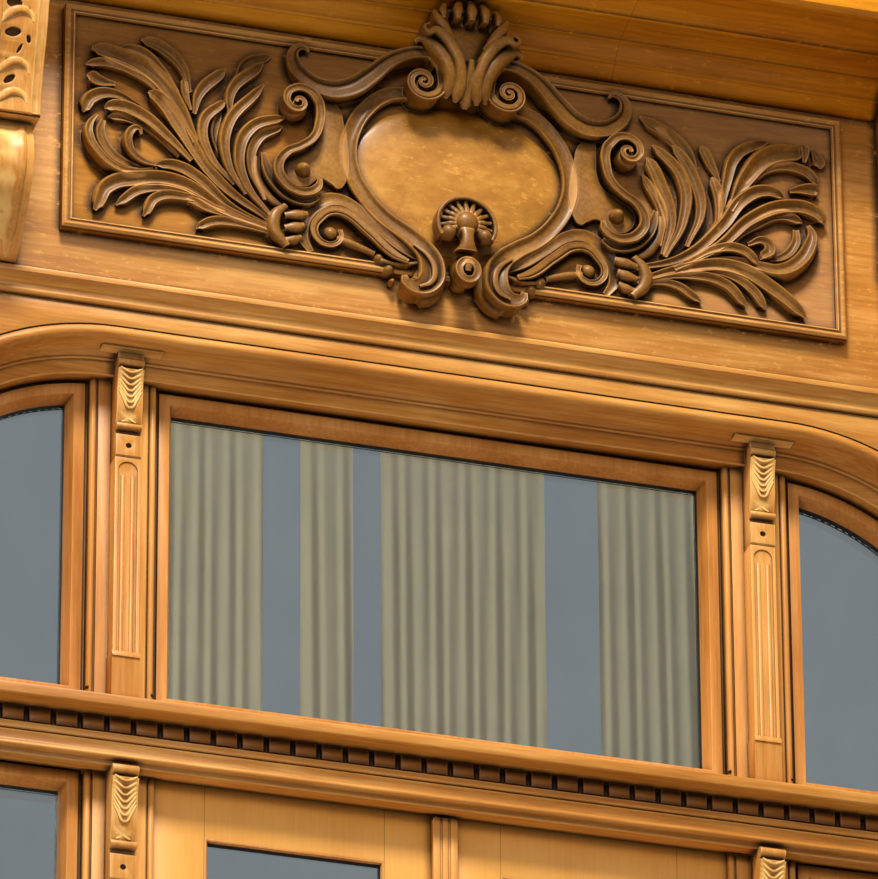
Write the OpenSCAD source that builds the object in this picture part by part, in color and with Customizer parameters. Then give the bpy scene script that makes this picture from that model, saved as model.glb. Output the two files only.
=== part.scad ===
/* [Doorway] */
// Clear width of the doorway between its two door posts
door_w = 1710; // [1500:10:1900]
// Height of the door leaf tops above the ground
leaf_top = 2400; // [2200:10:2500]
// Height of the threshold above the ground
threshold_h = 60; // [40:5:80]
// Distance that the threshold stands out before the glazing line
threshold_out = 230; // [215:5:300]
// Depth of the threshold behind the glazing line
threshold_in = 75; // [70:5:90]
// Gap between a door leaf and the threshold
floor_gap = 12; // [8:1:20]
// Gap between a door leaf and the frame at its sides and top
leaf_gap = 8; // [6:1:12]
// Overlap of the frame stops in front of the leaf edges
stop_lap = 15; // [12:1:18]

/* [Door leaves] */
// Distance of the leaf front before the glazing line
leaf_out = 44; // [40:1:46]
// Thickness of a door leaf
leaf_t = 50; // [44:1:56]
// Width of the hinge stile of a leaf
hinge_stile = 166; // [120:2:200]
// Width of the meeting stile of a leaf
meeting_stile = 145; // [120:1:170]
// Height of the top rail of a leaf
top_rail = 180; // [120:5:240]
// Height of the bottom rail of a leaf
bottom_rail = 210; // [150:5:280]
// Height of the lock rail of a leaf
lock_rail = 150; // [120:5:200]
// Height of the lower edge of the lock rail above the ground
lock_rail_z = 975; // [900:5:1050]
// Thickness of the glass panes
glass_t = 6; // [4:1:8]
// Radius of a hinge knuckle
knuckle_r = 8; // [7:0.5:10]
// Height of one hinge
hinge_h = 100; // [80:5:140]
// Radius of a hinge pin
pin_r = 4.5; // [4:0.5:5]
// Height of the lever above the ground
lever_z = 1050; // [1000:5:1100]
// Length of a lever arm
lever_len = 115; // [90:5:125]
// Radius of the lever spindle and grip
lever_r = 9; // [8:0.5:10]

/* [Posts and lights] */
// Width of the moulded posts that carry the pilasters
mullion_w = 198; // [180:2:220]
// Distance that the door posts stand inside the upper posts
jamb_step = 8; // [0:1:20]
// Width of each side light between its posts
side_w = 629; // [560:1:700]
// Width of the outer posts
post_w = 170; // [150:5:220]
// Distance of the post fronts before the glazing line
frame_out = 62; // [62:1:70]
// Distance of the transom and head beam fronts before the glazing line
beam_out = 80; // [76:1:84]
// Depth of the frame behind the glazing line
frame_in = 60; // [58:1:70]
// Radius of the beads on the edges of the posts
bead_r = 10; // [8:0.5:10]
// Width of a sash on every side
sash_w = 60; // [56:1:68]
// Width of a sash up to the start of its splay
sash_face = 44; // [40:1:48]
// Width of the sunk edge of a sash beside the posts
sash_edge = 12; // [8:1:14]
// Distance of the sash front before the glazing line
sash_out = 44; // [40:1:50]
// Distance of the window glass behind the glazing line
glass_in = 26; // [18:1:30]
// Height of the side light sills above the ground
apron_h = 900; // [700:10:1100]
// Width of the pilasters
pilaster_w = 76; // [70:1:84]
// Distance that the pilasters stand out from the posts
pilaster_out = 60; // [52:1:66]
// Height of the plinth blocks of the pilasters
plinth_h = 260; // [200:10:340]
// Height of the base blocks of the fanlight pilasters
fan_plinth_h = 116; // [80:2:150]
// Height of the carved brackets under the transom
door_bracket_h = 355; // [320:5:380]
// Height of the carved brackets under the fanlight head
fan_bracket_h = 315; // [290:5:330]

/* [Transom] */
// Height of the lower edge of the transom above the ground
transom_z = 2380; // [2200:10:2480]
// Height of the transom
transom_h = 220; // [180:5:260]
// Distance of the sill nosing before the glazing line
sill_out = 200; // [180:2:220]
// Thickness of the sill nosing
nosing_h = 33; // [28:1:40]
// Width of one dentil
dentil_w = 62; // [50:1:65]
// Distance from one dentil to the next
dentil_pitch = 78; // [70:1:100]
// Height of the dentils
dentil_h = 47; // [38:1:52]
// Depth of the dentils
dentil_out = 16; // [12:1:24]

/* [Fanlight and head] */
// Height of the fanlight head above the ground
head_z = 3635; // [3400:5:3900]
// Radius of the shoulder of the side light glass
arch_r = 610; // [450:5:640]
// Width of the arch moulding across its face
arch_w = 104; // [100:1:110]
// Distance of the head board front before the glazing line
board_out = 200; // [190:1:210]
// Height of the head board above the arch moulding
spandrel_h = 56; // [40:1:80]
// Height of the cyma moulding under the frieze
cyma_h = 80; // [70:1:100]
// Distance of the cyma edge before the glazing line
cyma_out = 240; // [230:1:250]

/* [Frieze] */
// Distance of the frieze board front before the glazing line
frieze_out = 203; // [195:1:210]
// Thickness of the frieze board
frieze_t = 60; // [50:1:70]
// Width of the carved panel
panel_w = 2402; // [2200:10:2420]
// Height of the carved panel
panel_h = 746; // [700:2:760]
// Height of the carved panel above the cyma moulding
panel_lift = 146; // [80:1:150]
// Height of the frieze above the carved panel
panel_above = 33; // [20:1:80]
// Thickness of the border of the carved panel
panel_t = 35; // [28:1:40]
// Width of the border of the carved panel
panel_border = 32; // [24:1:40]
// Depth of the panel field behind its border
panel_sink = 12; // [8:1:16]
// Height of the cartouche straps above the panel field
carve_out = 100; // [80:1:105]

/* [Curtain] */
// Radius of the curtain rod behind the fanlight
rod_r = 6; // [4:0.5:8]
// Thickness of the curtain cloth
cloth_t = 2; // [1:0.5:3]

/* [Consoles and cornice] */
// Distance of the inner side of a console from the middle
console_x = 1325; // [1300:5:1400]
// Width of a console
console_w = 300; // [240:5:340]
// Distance of the console head before the glazing line at its foot
console_out = 450; // [420:5:480]
// Height of the console scroll below its head
scroll_h = 365; // [320:5:400]
// Distance of the soffit edge before the glazing line
soffit_out = 590; // [560:5:640]
// Distance of the crown edge before the glazing line
crown_out = 700; // [660:5:760]
// Height of the crown moulding
crown_h = 230; // [180:5:280]

/* [Hidden] */
$fn = 48;
e = 0.1;
running_fit = 0.08;
timber = "#d89a50";
carved = "#9a6426";
pane = [0.75, 0.85, 0.9, 0.4];
cloth = "#d8d4bc";
brass = "#c9a14a";

// Places across the front, counted from the middle
door_x = door_w / 2;
fan_x = door_x + jamb_step;
side_x = fan_x + mullion_w;
post_x = side_x + side_w;
half_w = post_x + post_w;
pilaster_x = fan_x + mullion_w / 2;
arch_x = post_x - arch_r - sash_w;
// Heights above the ground
sill_z = transom_z + transom_h;
spring_z = head_z - arch_r - sash_w;
board_z = head_z + arch_w + spandrel_h;
cyma_z = board_z + cyma_h;
panel_z = cyma_z + panel_lift;
frieze_z = panel_z + panel_h + panel_above;
leaf_z = threshold_h + floor_gap;
console_z = cyma_z + scroll_h;
door_bracket_z = transom_z - 8 - door_bracket_h;
fan_bracket_z = head_z + 36 - fan_bracket_h;
side_top_z = transom_z + 10;
// Places in depth, outwards negative
leaf_front = -leaf_out;
leaf_back = leaf_front + leaf_t;
stop_back = leaf_front - 5;
strip_front = leaf_front - 28;
sash_back = glass_in + 10;
rod_y = sash_back + 12;
rod_z = head_z - 23;
field_out = frieze_out + panel_t - panel_sink;
// Hinge axis and leaf edges
rebate_x = door_x + stop_lap + leaf_gap;
leaf_x = door_x + stop_lap;
hinge_x = (leaf_x + rebate_x) / 2;
hinge_y = leaf_back + knuckle_r;
stem_w = 40;
strip_w = 72;
post_sunk = 3;
meet_x = stem_w / 2 + leaf_gap;
hinge_heights = [leaf_z + 180, (leaf_z + leaf_top) / 2, leaf_top - 280];
lever_x = meet_x + meeting_stile / 2;

// Mirrors what it holds to the side with the sign s
module to_side(s) {
    mirror([s < 0 ? 1 : 0, 0, 0]) children();
}

// A flat outline in X and Z made a plate between two depths
module plate(front, back) {
    translate([0, back, 0]) rotate([90, 0, 0]) linear_extrude(back - front) children();
}

// A profile in outward distance and height run along X
module run(x0, x1) {
    translate([x0, 0, 0]) rotate([90, 0, 90]) linear_extrude(x1 - x0) mirror([1, 0]) children();
}

// A rectangle given by its corners
module box2(x0, z0, x1, z1) {
    translate([x0, z0]) square([x1 - x0, z1 - z0]);
}

// A block given by its corners
module block(x0, y0, z0, x1, y1, z1) {
    translate([x0, y0, z0]) cube([x1 - x0, y1 - y0, z1 - z0]);
}

// Outline of the rounded side light, inset by o on every side
module shoulder(o) {
    r = arch_r + sash_w - o;
    box2(side_x + o, sill_z + o, arch_x + r, spring_z);
    intersection() {
        translate([arch_x, spring_z]) circle(r, $fn = 96);
        box2(side_x + o, spring_z - 1, arch_x + r, spring_z + r);
    }
}

// Outline of everything inside the arch moulding at the distance o from the glass side of the head
module arch_field(o) {
    r = arch_r + sash_w + o;
    box2(-arch_x - r, sill_z - 200, arch_x + r, spring_z);
    box2(-arch_x, spring_z - 1, arch_x, spring_z + r);
    for (s = [-1, 1]) translate([s * arch_x, spring_z]) circle(r, $fn = 96);
}

module threshold() {
    flat = frame_out + pilaster_out + 12;
    color("#8b6a45") run(-half_w, half_w) polygon([
        [-threshold_in, 0], [threshold_out, 0], [threshold_out, threshold_h - 22],
        [threshold_out - 12, threshold_h - 10], [flat, threshold_h], [-threshold_in, threshold_h]]);
}

module outer_post(s) {
    color(timber) to_side(s) block(post_x, -beam_out, threshold_h, half_w, frame_in, spring_z);
}

// Plan of a post between two edges with a bead on each edge, from its front to the depth back
module post_plan(x0, x1, back) {
    quirk = 2.5 * bead_r;
    intersection() {
        translate([x0, -frame_out]) square([x1 - x0, frame_out + back]);
        union() {
            translate([x0, bead_r - frame_out]) square([x1 - x0, frame_out + frame_in]);
            translate([x0 + quirk, post_sunk - frame_out]) square([x1 - x0 - 2 * quirk, bead_r]);
            for (x = [x0 + bead_r, x1 - bead_r]) translate([x, bead_r - frame_out]) circle(bead_r);
        }
    }
}

// Shaft of a pilaster with two reeds in a sunk face that ends in an arch
module pilaster(z0, z1) {
    front = -frame_out - pilaster_out;
    sunk = 4;
    half = pilaster_w / 2 - 9;
    difference() {
        block(pilaster_x - pilaster_w / 2, front, z0,
            pilaster_x + pilaster_w / 2, post_sunk + 1 - frame_out, z1);
        block(pilaster_x - half, front - 1, z0 - 1, pilaster_x + half, front + sunk, z1 - 12 - half);
        translate([pilaster_x, front + sunk, z1 - 12 - half]) rotate([90, 0, 0])
            cylinder(h = sunk + 1, r = half);
    }
    for (s = [-1, 1]) translate([pilaster_x + s * half / 2, front + sunk + 4, z0])
        cylinder(h = z1 - z0 - half - 30, r = 8);
}

module door_post(s) {
    side = pilaster_w / 2 + 8;
    color(timber) to_side(s) {
        translate([0, 0, threshold_h])
            linear_extrude(transom_z - threshold_h) post_plan(door_x, side_x, stop_back);
        block(rebate_x, stop_back - e, threshold_h, side_x, leaf_back, transom_z);
        block(rebate_x + 24, leaf_back - e, threshold_h, side_x, frame_in, transom_z);
        pilaster(threshold_h + plinth_h, door_bracket_z);
        block(pilaster_x - side, -frame_out - pilaster_out - 8, threshold_h,
            pilaster_x + side, post_sunk + 1 - frame_out, threshold_h + plinth_h);
    }
}

module fan_post(s) {
    foot = sill_z + fan_plinth_h;
    side = pilaster_w / 2 + 3;
    color(timber) to_side(s) {
        intersection() {
            translate([0, 0, sill_z]) linear_extrude(head_z - sill_z) post_plan(fan_x, side_x, frame_in);
            plate(-frame_out - 1, frame_in + 1) arch_field(0);
        }
        pilaster(foot, fan_bracket_z);
        difference() {
            block(pilaster_x - side, -frame_out - pilaster_out - 4, sill_z - 30,
                pilaster_x + side, post_sunk + 1 - frame_out, foot);
            run(pilaster_x - side - 1, pilaster_x + side + 1) polygon(sill_section());
            block(fan_x, -beam_out, sill_z - 31, side_x, 0, sill_z);
        }
        run(pilaster_x - side, pilaster_x + side) polygon([
            [frame_out, foot - e],
                [frame_out + pilaster_out + 8, foot - e], [frame_out + pilaster_out + 8, foot + 8],
            [frame_out + pilaster_out, foot + 20], [frame_out, foot + 20]]);
    }
}

// Carved bracket of the height h at the top of a pilaster, from the height z up:
// a block with a hollow drop, a scoop, a roll, a swelling body and a rounded cap
module bracket(z, h) {
    p = pilaster_out;
    difference() {
        run(pilaster_x - pilaster_w / 2, pilaster_x + pilaster_w / 2) translate([frame_out, z]) polygon(concat(
            [[-post_sunk, 0], [p - 2, 0], [p + 4, 0.02 * h],
                [p + 4, 0.23 * h], [p - 8, 0.245 * h], [p - 8, 0.275 * h]],
            [for (a = [-60:30:90]) [p + 4 + 9 * cos(a), 0.315 * h + 0.03 * h * sin(a)]],
            [for (t = [0:0.125:1]) [p - 2 + 28 * t + 5 * sin(360 * t), h * (0.36 + 0.52 * t)]],
            [[p + 12, 0.89 * h], [p + 12, 0.905 * h]],
            [for (a = [-60:30:90]) [p + 12 + 16 * cos(a), 0.955 * h + 0.045 * h * sin(a)]],
            [[-post_sunk, h]]));
        translate([pilaster_x, -frame_out - p - 4, z + 0.12 * h]) sphere(9, $fn = 24);
    }
}

module door_bracket(s) {
    color(carved) to_side(s) bracket(door_bracket_z, door_bracket_h);
}

module fan_bracket(s) {
    color(carved) to_side(s) difference() {
        union() {
            bracket(fan_bracket_z, fan_bracket_h);
            block(pilaster_x - 91, -beam_out - 82, head_z + 56, pilaster_x + 91, -beam_out, head_z + 64);
            block(pilaster_x - pilaster_w / 2, -beam_out - 60, head_z + 36 - e,
                pilaster_x + pilaster_w / 2, -beam_out, head_z + 56 + e);
        }
        arch_quarter();
        block(fan_x, -beam_out, head_z, side_x, 0, board_z);
    }
}

module centre_mullion() {
    corner = 8;
    top = leaf_top - 33;
    edge = strip_w / 2;
    color(timber) {
        difference() {
            plate(strip_front, stop_back + e) {
                box2(-edge, threshold_h, edge, top - corner);
                box2(-edge + corner, threshold_h, edge - corner, top);
                for (s = [-1, 1]) translate([s * (edge - corner), top - corner]) circle(corner);
            }
            for (x = [-edge / 3, edge / 3]) translate([x, strip_front - 1, threshold_h - 1])
                cylinder(h = top, r = 5);
        }
        block(-stem_w / 2, stop_back, threshold_h, stem_w / 2, leaf_back, leaf_top + leaf_gap);
    }
}

module transom_beam() {
    color(timber) {
        block(-post_x, -beam_out, transom_z, post_x, stop_back, sill_z);
        block(-side_x, stop_back - e, leaf_top + leaf_gap, side_x, frame_in, sill_z);
        for (s = [-1, 1]) to_side(s) block(side_x - e, stop_back - e, side_top_z, post_x, frame_in, sill_z);
    }
}

module transom_moulding() {
    z = transom_z;
    b = beam_out;
    color(timber) run(-half_w, half_w) polygon([
        [b, z - 8], [b + 42, z - 8], [b + 42, z + 4], [b + 48, z + 6], [b + 56, z + 8], [b + 61, z + 12],
        [b + 62, z + 16], [b + 61, z + 20], [b + 57, z + 25],
            [b + 52, z + 29], [b + 50, z + 38], [b + 52, z + 52],
        [b + 55, z + 60], [b + 50, z + 62], [b + 60, z + 66], [b + 60, z + 85], [b, z + 85]]);
}

module dentil_course() {
    z = transom_z + 85;
    back = beam_out + 28;
    count = floor((half_w * 2 - dentil_w) / dentil_pitch / 2);
    color(timber) {
        block(-half_w, -back, z, half_w, -beam_out, z + dentil_h + 11);
        for (i = [-count:count - 1])
            block((i + 0.5) * dentil_pitch - dentil_w / 2, -back - dentil_out, z + 11,
                (i + 0.5) * dentil_pitch + dentil_w / 2, -back + e, z + 11 + dentil_h);
    }
}

// Section of the transom sill in outward distance and height
function sill_section() = let (z = transom_z + 96 + dentil_h) [
    [beam_out, z], [sill_out, z], [sill_out, z + nosing_h], [beam_out, sill_z - 6]];

module transom_sill() {
    color(timber) run(-half_w, half_w) polygon(sill_section());
}

// A sash round the outline module given as children: 0 its edge, 1 its raised face, 2 its splay, 3 its glass
module sash() {
    difference() {
        plate(-sash_out, sash_back) children(0);
        plate(-sash_out - 1, sash_back + 1) children(3);
        hull() {
            plate(-sash_out - 1, -sash_out) children(2);
            plate(-e, 0) children(3);
        }
        plate(-sash_out - 1, 14 - sash_out) difference() {
            offset(delta = 1) children(0);
            children(1);
        }
    }
}

// A rectangle inside the given corners, inset by o
module inset(x0, z0, x1, z1, o) {
    box2(x0 + o, z0 + o, x1 - o, z1 - o);
}

module side_sash(s) {
    color(timber) to_side(s) sash() {
        inset(side_x, apron_h, post_x, side_top_z, 0);
        inset(side_x, apron_h, post_x, side_top_z, sash_edge);
        inset(side_x, apron_h, post_x, side_top_z, sash_face);
        inset(side_x, apron_h, post_x, side_top_z, sash_w);
    }
}

module side_glass(s) {
    color(pane) to_side(s) plate(glass_in - glass_t / 2, glass_in + glass_t / 2)
        inset(side_x, apron_h, post_x, side_top_z, sash_w);
}

module apron(s) {
    color(timber) to_side(s) plate(-sash_out - 6, sash_back) difference() {
        box2(side_x, threshold_h, post_x, apron_h);
        box2(side_x + 110, threshold_h + 150, post_x - 110, apron_h - 110);
    }
}

module apron_panel(s) {
    color(timber) to_side(s) {
        plate(-sash_out + 12, 0) box2(side_x + 110, threshold_h + 150, post_x - 110, apron_h - 110);
        plate(-sash_out, -sash_out + 14) box2(side_x + 160, threshold_h + 200, post_x - 160, apron_h - 160);
    }
}

module fan_sash() {
    color(timber) sash() {
        inset(-fan_x, sill_z, fan_x, head_z, 0);
        inset(-fan_x, sill_z, fan_x, head_z, sash_edge);
        inset(-fan_x, sill_z, fan_x, head_z, sash_face);
        inset(-fan_x, sill_z, fan_x, head_z, sash_w);
    }
}

module fan_glass() {
    color(pane) plate(glass_in - glass_t / 2, glass_in + glass_t / 2)
        inset(-fan_x, sill_z, fan_x, head_z, sash_w);
}

module side_fan_sash(s) {
    color(timber) to_side(s) sash() {
        shoulder(0);
        shoulder(sash_edge);
        shoulder(sash_face);
        shoulder(sash_w);
    }
}

module side_fan_glass(s) {
    color(pane) to_side(s) plate(glass_in - glass_t / 2, glass_in + glass_t / 2) shoulder(sash_w);
}

module curtain_rod() {
    color(brass) translate([-fan_x, rod_y, rod_z]) rotate([0, 90, 0]) cylinder(h = 2 * fan_x, r = rod_r);
}

// One length of curtain between two places, hung in folds from the rod
module curtain(x0, x1) {
    fold = 5.5;
    translate([0, rod_y, sill_z + 12]) linear_extrude(rod_z - rod_r - sill_z - 12 + e) polygon(concat(
        [for (x = [x0:6:x1]) [x, fold * sin(x * 7.5) - cloth_t / 2]],
        [for (x = [x1:-6:x0]) [x, fold * sin(x * 7.5) + cloth_t / 2]]));
}

module fan_curtain() {
    color(cloth) {
        curtain(-fan_x + 12, -510);
        curtain(-400, -240);
        curtain(-156, 348);
        curtain(510, fan_x - 9);
    }
}

module head_beam() {
    color(timber) plate(-beam_out, frame_in) difference() {
        box2(-half_w, spring_z, half_w, cyma_z - 40);
        arch_field(0);
    }
}

// Section of the arch moulding in radius and outward distance: a flat face, a bead, a hollow and a roll
module arch_section() {
    r = arch_r + sash_w;
    f = beam_out;
    torus = 21;
    polygon(concat(
        [[r, f], [r, f + 5], [r + 40, f + 12],
            [r + 40, f + 20], [r + 44, f + 25], [r + 49, f + 24], [r + 50, f + 32]],
        [for (t = [0.25:0.25:1]) [r + 50 + 12 * t, f + 32 + 42 * t * t]],
        [for (a = [-90:20:90]) [r + arch_w - torus + torus * sin(a), board_out - 14 + torus * cos(a)]],
        [[r + arch_w, f]]));
}

// One half of the arch moulding: along the head, round the shoulder and down the side
module arch_quarter() {
    translate([-e, 0, spring_z]) rotate([180, -90, 0]) linear_extrude(arch_x + e) arch_section();
    translate([arch_x, 0, spring_z]) rotate([90, 0, 0]) rotate_extrude(angle = 90, $fn = 96) arch_section();
    translate([arch_x, 0, spring_z]) rotate([180, 0, 0]) linear_extrude(spring_z - sill_z) arch_section();
}

module arch_moulding() {
    color(timber) for (s = [-1, 1]) to_side(s) arch_quarter();
}

module head_board() {
    color(timber) plate(-board_out, -beam_out) difference() {
        box2(-half_w, sill_z, half_w, board_z);
        arch_field(arch_w);
    }
}

module head_cyma() {
    z = board_z;
    b = board_out;
    color(timber) run(-half_w, half_w) polygon([
        [beam_out, z], [b, z], [b + 10, z + 3], [b + 14, z + 12],
        [b + 12, z + 22], [b + 16, z + 34], [cyma_out - 10, z + 50], [cyma_out - 4, z + 56],
        [cyma_out, z + 56], [cyma_out, z + cyma_h - 6], [frieze_out, z + cyma_h], [beam_out, z + cyma_h]]);
}

module frieze_board() {
    color(timber) block(-half_w, -frieze_out, cyma_z, half_w, -frieze_out + frieze_t, frieze_z);
}

module frieze_panel() {
    color(carved) difference() {
        block(-panel_w / 2, -frieze_out - panel_t, panel_z, panel_w / 2, -frieze_out, panel_z + panel_h);
        block(-panel_w / 2 + panel_border, -frieze_out - panel_t - 1, panel_z + panel_border,
            panel_w / 2 - panel_border, -field_out, panel_z + panel_h - panel_border);
    }
}

// More points between those of a stroke, so that it bends softly
function smooth(p) = let (n = len(p) - 1) [for (i = [0:n]) each (i == n ? [p[n]] :
    [p[i], (9 * (p[i] + p[i + 1]) - p[max(i - 1, 0)] - p[min(i + 2, n)]) / 16])];

// A spiral from its eye outwards, in n points of X, Z, width and height
function spiral(x, z, r0, r1, a0, a1, w0, w1, h, n) = [for (i = [0:n - 1])
    let (t = i / (n - 1), r = r0 + (r1 - r0) * t, a = a0 + (a1 - a0) * t)
    [x + r * cos(a), z + r * sin(a), w0 + (w1 - w0) * t, h]];

// A blade of a leaf from its root to its tip, along points of X and Z
function blade(w, h, p) = let (n = len(p) - 1) [for (i = [0:n]) let (s = sin(180 * (0.12 + 0.8 * i / n)))
    [p[i][0], p[i][1], w * max(s, 0.34), h * (0.55 + 0.45 * s)]];

// A carved stroke on the panel field along points of X, Z, width and height
module band(points) {
    p = smooth(points);
    n = len(p);
    shape = [[-1, 0], [-1, 0.6], [-0.5, 1], [0.5, 1], [1, 0.6], [1, 0]];
    m = len(shape);
    rings = [for (i = [0:n - 1])
        let (a = p[max(i - 1, 0)], b = p[min(i + 1, n - 1)], l = norm([b[0] - a[0], b[1] - a[1]]),
            half = p[i][2] / 2 / l, out = p[i][3] * carve_out / 100)
        for (c = shape) [p[i][0] - (b[1] - a[1]) * c[0] * half, -field_out - out * c[1],
            p[i][1] + (b[0] - a[0]) * c[0] * half]];
    polyhedron(rings, concat(
        [[for (j = [m - 1:-1:0]) j], [for (j = [0:m - 1]) (n - 1) * m + j]],
        [for (i = [0:n - 2], j = [0:m - 1]) let (k = (j + 1) % m) each
            [[i * m + j, i * m + k, (i + 1) * m + k], [i * m + j, (i + 1) * m + k, (i + 1) * m + j]]]));
}

// Holds carving drawn for a panel of 2402 by 746 at the middle of the panel
module on_panel() {
    drawn = [2402, 1, 746];
    translate([0, 0, panel_z + panel_h / 2])
        scale([panel_w / drawn[0], 1, panel_h / drawn[2]]) children();
}

// Straps, scrolls, back plate, rim and crest on one side of the cartouche
module cartouche_half() {
    band(concat(spiral(130, 243, 20, 62, 180, -205, 18, 31, 100, 12), [[80, 295, 33, 108], [102, 328, 34, 107],
        [142, 336, 34, 104], [185, 325, 36, 100], [235, 296, 44, 94], [290, 243, 56, 84], [350, 202, 60, 70],
        [420, 198, 56, 58], [485, 236, 48, 48], [513, 290, 36, 40], [505, 325, 26, 36], [480, 335, 18, 33]]));
    band(concat(spiral(508, 120, 15, 60, 260, 525, 16, 31, 80, 9), [[441, 118, 29, 74], [442, 62, 26, 70],
        [458, 16, 23, 68], [494, -17, 23, 65], [540, -46, 25, 62], [563, -96, 30, 58], [546, -138, 32, 56],
        [510, -162, 31, 54], [468, -162, 28, 53], [440, -140, 24, 52]]));
    band(concat(spiral(397, -275, 34, 54, 155, 415, 14, 25, 27, 7), [[398, -204, 26, 31], [355, -203, 27, 34],
        [290, -252, 28, 40], [212, -325, 26, 49], [168, -348, 16, 54]]));
    band([[452, -334, 22, 12], [474, -288, 38, 15],
        [464, -230, 44, 18], [428, -184, 44, 20], [380, -166, 38, 22],
        [325, -180, 32, 24], [260, -232, 30, 28], [190, -290, 26, 33]]);
    band([[155, 196, 24, 44], [225, 184, 34, 38], [290, 125, 44, 34], [325, 50, 52, 32], [332, -30, 54, 31],
        [305, -115, 56, 32], [235, -196, 56, 36], [160, -255, 60, 48], [110, -308, 80, 62], [96, -365, 96, 72],
        [110, -416, 86, 78]]);
    band([[400, 120, 34, 20], [400, 50, 58, 22], [398, -20, 60, 22], [388, -90, 40, 20]]);
    band([[130, 230, 30, 26], [235, 222, 46, 26], [305, 175, 44, 24], [352, 110, 46, 22], [375, 40, 40, 22]]);
    band([[32, 198, 24, 104], [24, 245, 28, 134], [31, 290, 28, 152], [50, 332, 30, 158], [82, 373, 30, 160],
        [110, 387, 22, 160]]);
    band([[56, 198, 22, 100], [50, 240, 28, 130], [58, 280, 28, 145], [80, 320, 31, 149], [115, 352, 34, 143],
        [150, 368, 26, 132]]);
    band([[52, 368, 18, 146], [78, 398, 28, 158], [100, 430, 26, 156], [114, 460, 12, 146]]);
    for (k = [[130, 243, 17, 100], [508, 120, 17, 84], [482, -82, 25, 58], [395, -275, 25, 34]])
        band([[k[0] - k[2], k[1], k[2], k[3]], [k[0], k[1], 2 * k[2], k[3]], [k[0] + k[2], k[1], k[2], k[3]]]);
}

module cartouche() {
    color(carved) difference() {
        on_panel() {
            for (s = [-1, 1]) to_side(s) cartouche_half();
            band([[0, 188, 42, 86], [0, 225, 34, 108], [0, 262, 26, 134], [0, 300, 18, 150]]);
            band([[0, 250, 60, 100], [0, 330, 90, 126],
                [0, 400, 150, 128], [0, 470, 180, 118], [0, 505, 150, 110]]);
            for (i = [0:10]) let (a = -20 + 22 * i)
                band([for (r = [26, 56, 80]) [r * cos(a), -214 + r * sin(a), r * 0.3, 108 - 0.3 * r]]);
            band([[0, -170, 40, 90], [0, -205, 72, 100],
                [0, -240, 44, 100], [0, -290, 46, 100], [0, -345, 70, 98]]);
            plate(-field_out - carve_out, -field_out + e) translate([0, -378]) difference() {
                circle(40);
                circle(20);
            }
        }
        difference() {
            block(-panel_w / 2, -field_out - 12, panel_z, panel_w / 2, -frieze_out, panel_z + panel_h + 1);
            block(-panel_w / 2 + panel_border, -field_out - 12, panel_z + panel_border,
                panel_w / 2 - panel_border, -frieze_out, panel_z + panel_h - panel_border);
        }
        boss();
        run(-600, 600)
            polygon(concat(soffit_side(), [[soffit_out, frieze_z + 300], [frieze_out, frieze_z + 300]]));
    }
}

// The low field of the cartouche, an oval that is fuller at the top
module boss() {
    on_panel() plate(-field_out - 24, -field_out)
        polygon([for (a = [0:10:350]) [300 * cos(a), 205 * sin(a) - 18 * cos(2 * a)]]);
}

module cartouche_boss() {
    color(carved) boss();
}

module foliage(s) {
    color(carved) to_side(s) difference() {
        on_panel() {
            band(blade(44, 34, [[580, -262], [730, -162], [850, 0], [905, 80], [950, 112]]));
            band(blade(56, 40, [[805, -40], [865, 80], [940, 172], [1036, 210], [1125, 230]]));
            band(blade(38, 28, [[824, 128], [850, 215], [905, 265], [972, 286]]));
            band(blade(36, 40, [[820, -105], [890, -38], [970, 22], [1040, 42], [1084, 32]]));
            band(blade(36, 32, [[975, 55], [1065, 84], [1125, 58], [1145, 10]]));
            band(blade(34, 34, [[580, -284], [700, -238], [800, -155], [865, -128], [925, -131]]));
            band(blade(46, 36, [[575, -292], [720, -250],
                [850, -183], [970, -188], [1070, -228], [1106, -312]]));
            band(blade(28, 32, [[716, -252], [830, -226], [925, -244], [960, -308]]));
            band(blade(27, 28, [[570, -302], [680, -286], [745, -290], [802, -320]]));
            band(blade(33, 30, [[810, 58], [796, 130], [715, 228]]));
            band(blade(34, 44, [[582, -250], [655, -160], [678, -60], [640, 34], [560, 80]]));
            band(blade(31, 44, [[655, -192], [712, -100], [712, 30], [600, 191]]));
            band(blade(32, 34, [[699, 48], [700, 150], [600, 268]]));
            band(blade(30, 40, [[690, -163], [765, -80], [785, 30], [716, 118]]));
            band(concat([[860, -150, 24, 22]], [[930, -150, 24, 24], [985, -169, 28, 32], [1045, -166, 30, 40],
                [1105, -122, 28, 45], [1126, -70, 26, 42], [1122, -30, 20, 34], [1104, 6, 12, 26]]));
        }
        block(-panel_w / 2, -field_out - carve_out, panel_z + panel_h - panel_border, panel_w / 2, 0, frieze_z);
    }
}

// Side of the cornice soffit, as outward distance and height
function soffit_side() = let (z = frieze_z) [
    [frieze_out, z], [frieze_out + 12, z + 4], [frieze_out + 34, z + 20], [frieze_out + 44, z + 38],
    [frieze_out + 50, z + 40], [frieze_out + 50, z + 50], [frieze_out + 62, z + 58], [frieze_out + 80, z + 76],
    [frieze_out + 97, z + 86], [frieze_out + 103, z + 86], [frieze_out + 103, z + 92],
    [frieze_out + 190, z + 112], [frieze_out + 190, z + 106],
        [frieze_out + 204, z + 108], [frieze_out + 204, z + 116],
    [soffit_out - 34, z + 150], [soffit_out - 34, z + 134], [soffit_out - 14, z + 134], [soffit_out, z + 146],
    [soffit_out, z + 150]];

module cornice_soffit() {
    z = frieze_z;
    color(timber) run(-half_w, half_w) polygon(concat(soffit_side(), [
        [soffit_out, z + 240], [frieze_out - frieze_t, z + 240],
        [frieze_out - frieze_t, z]]));
}

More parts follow.
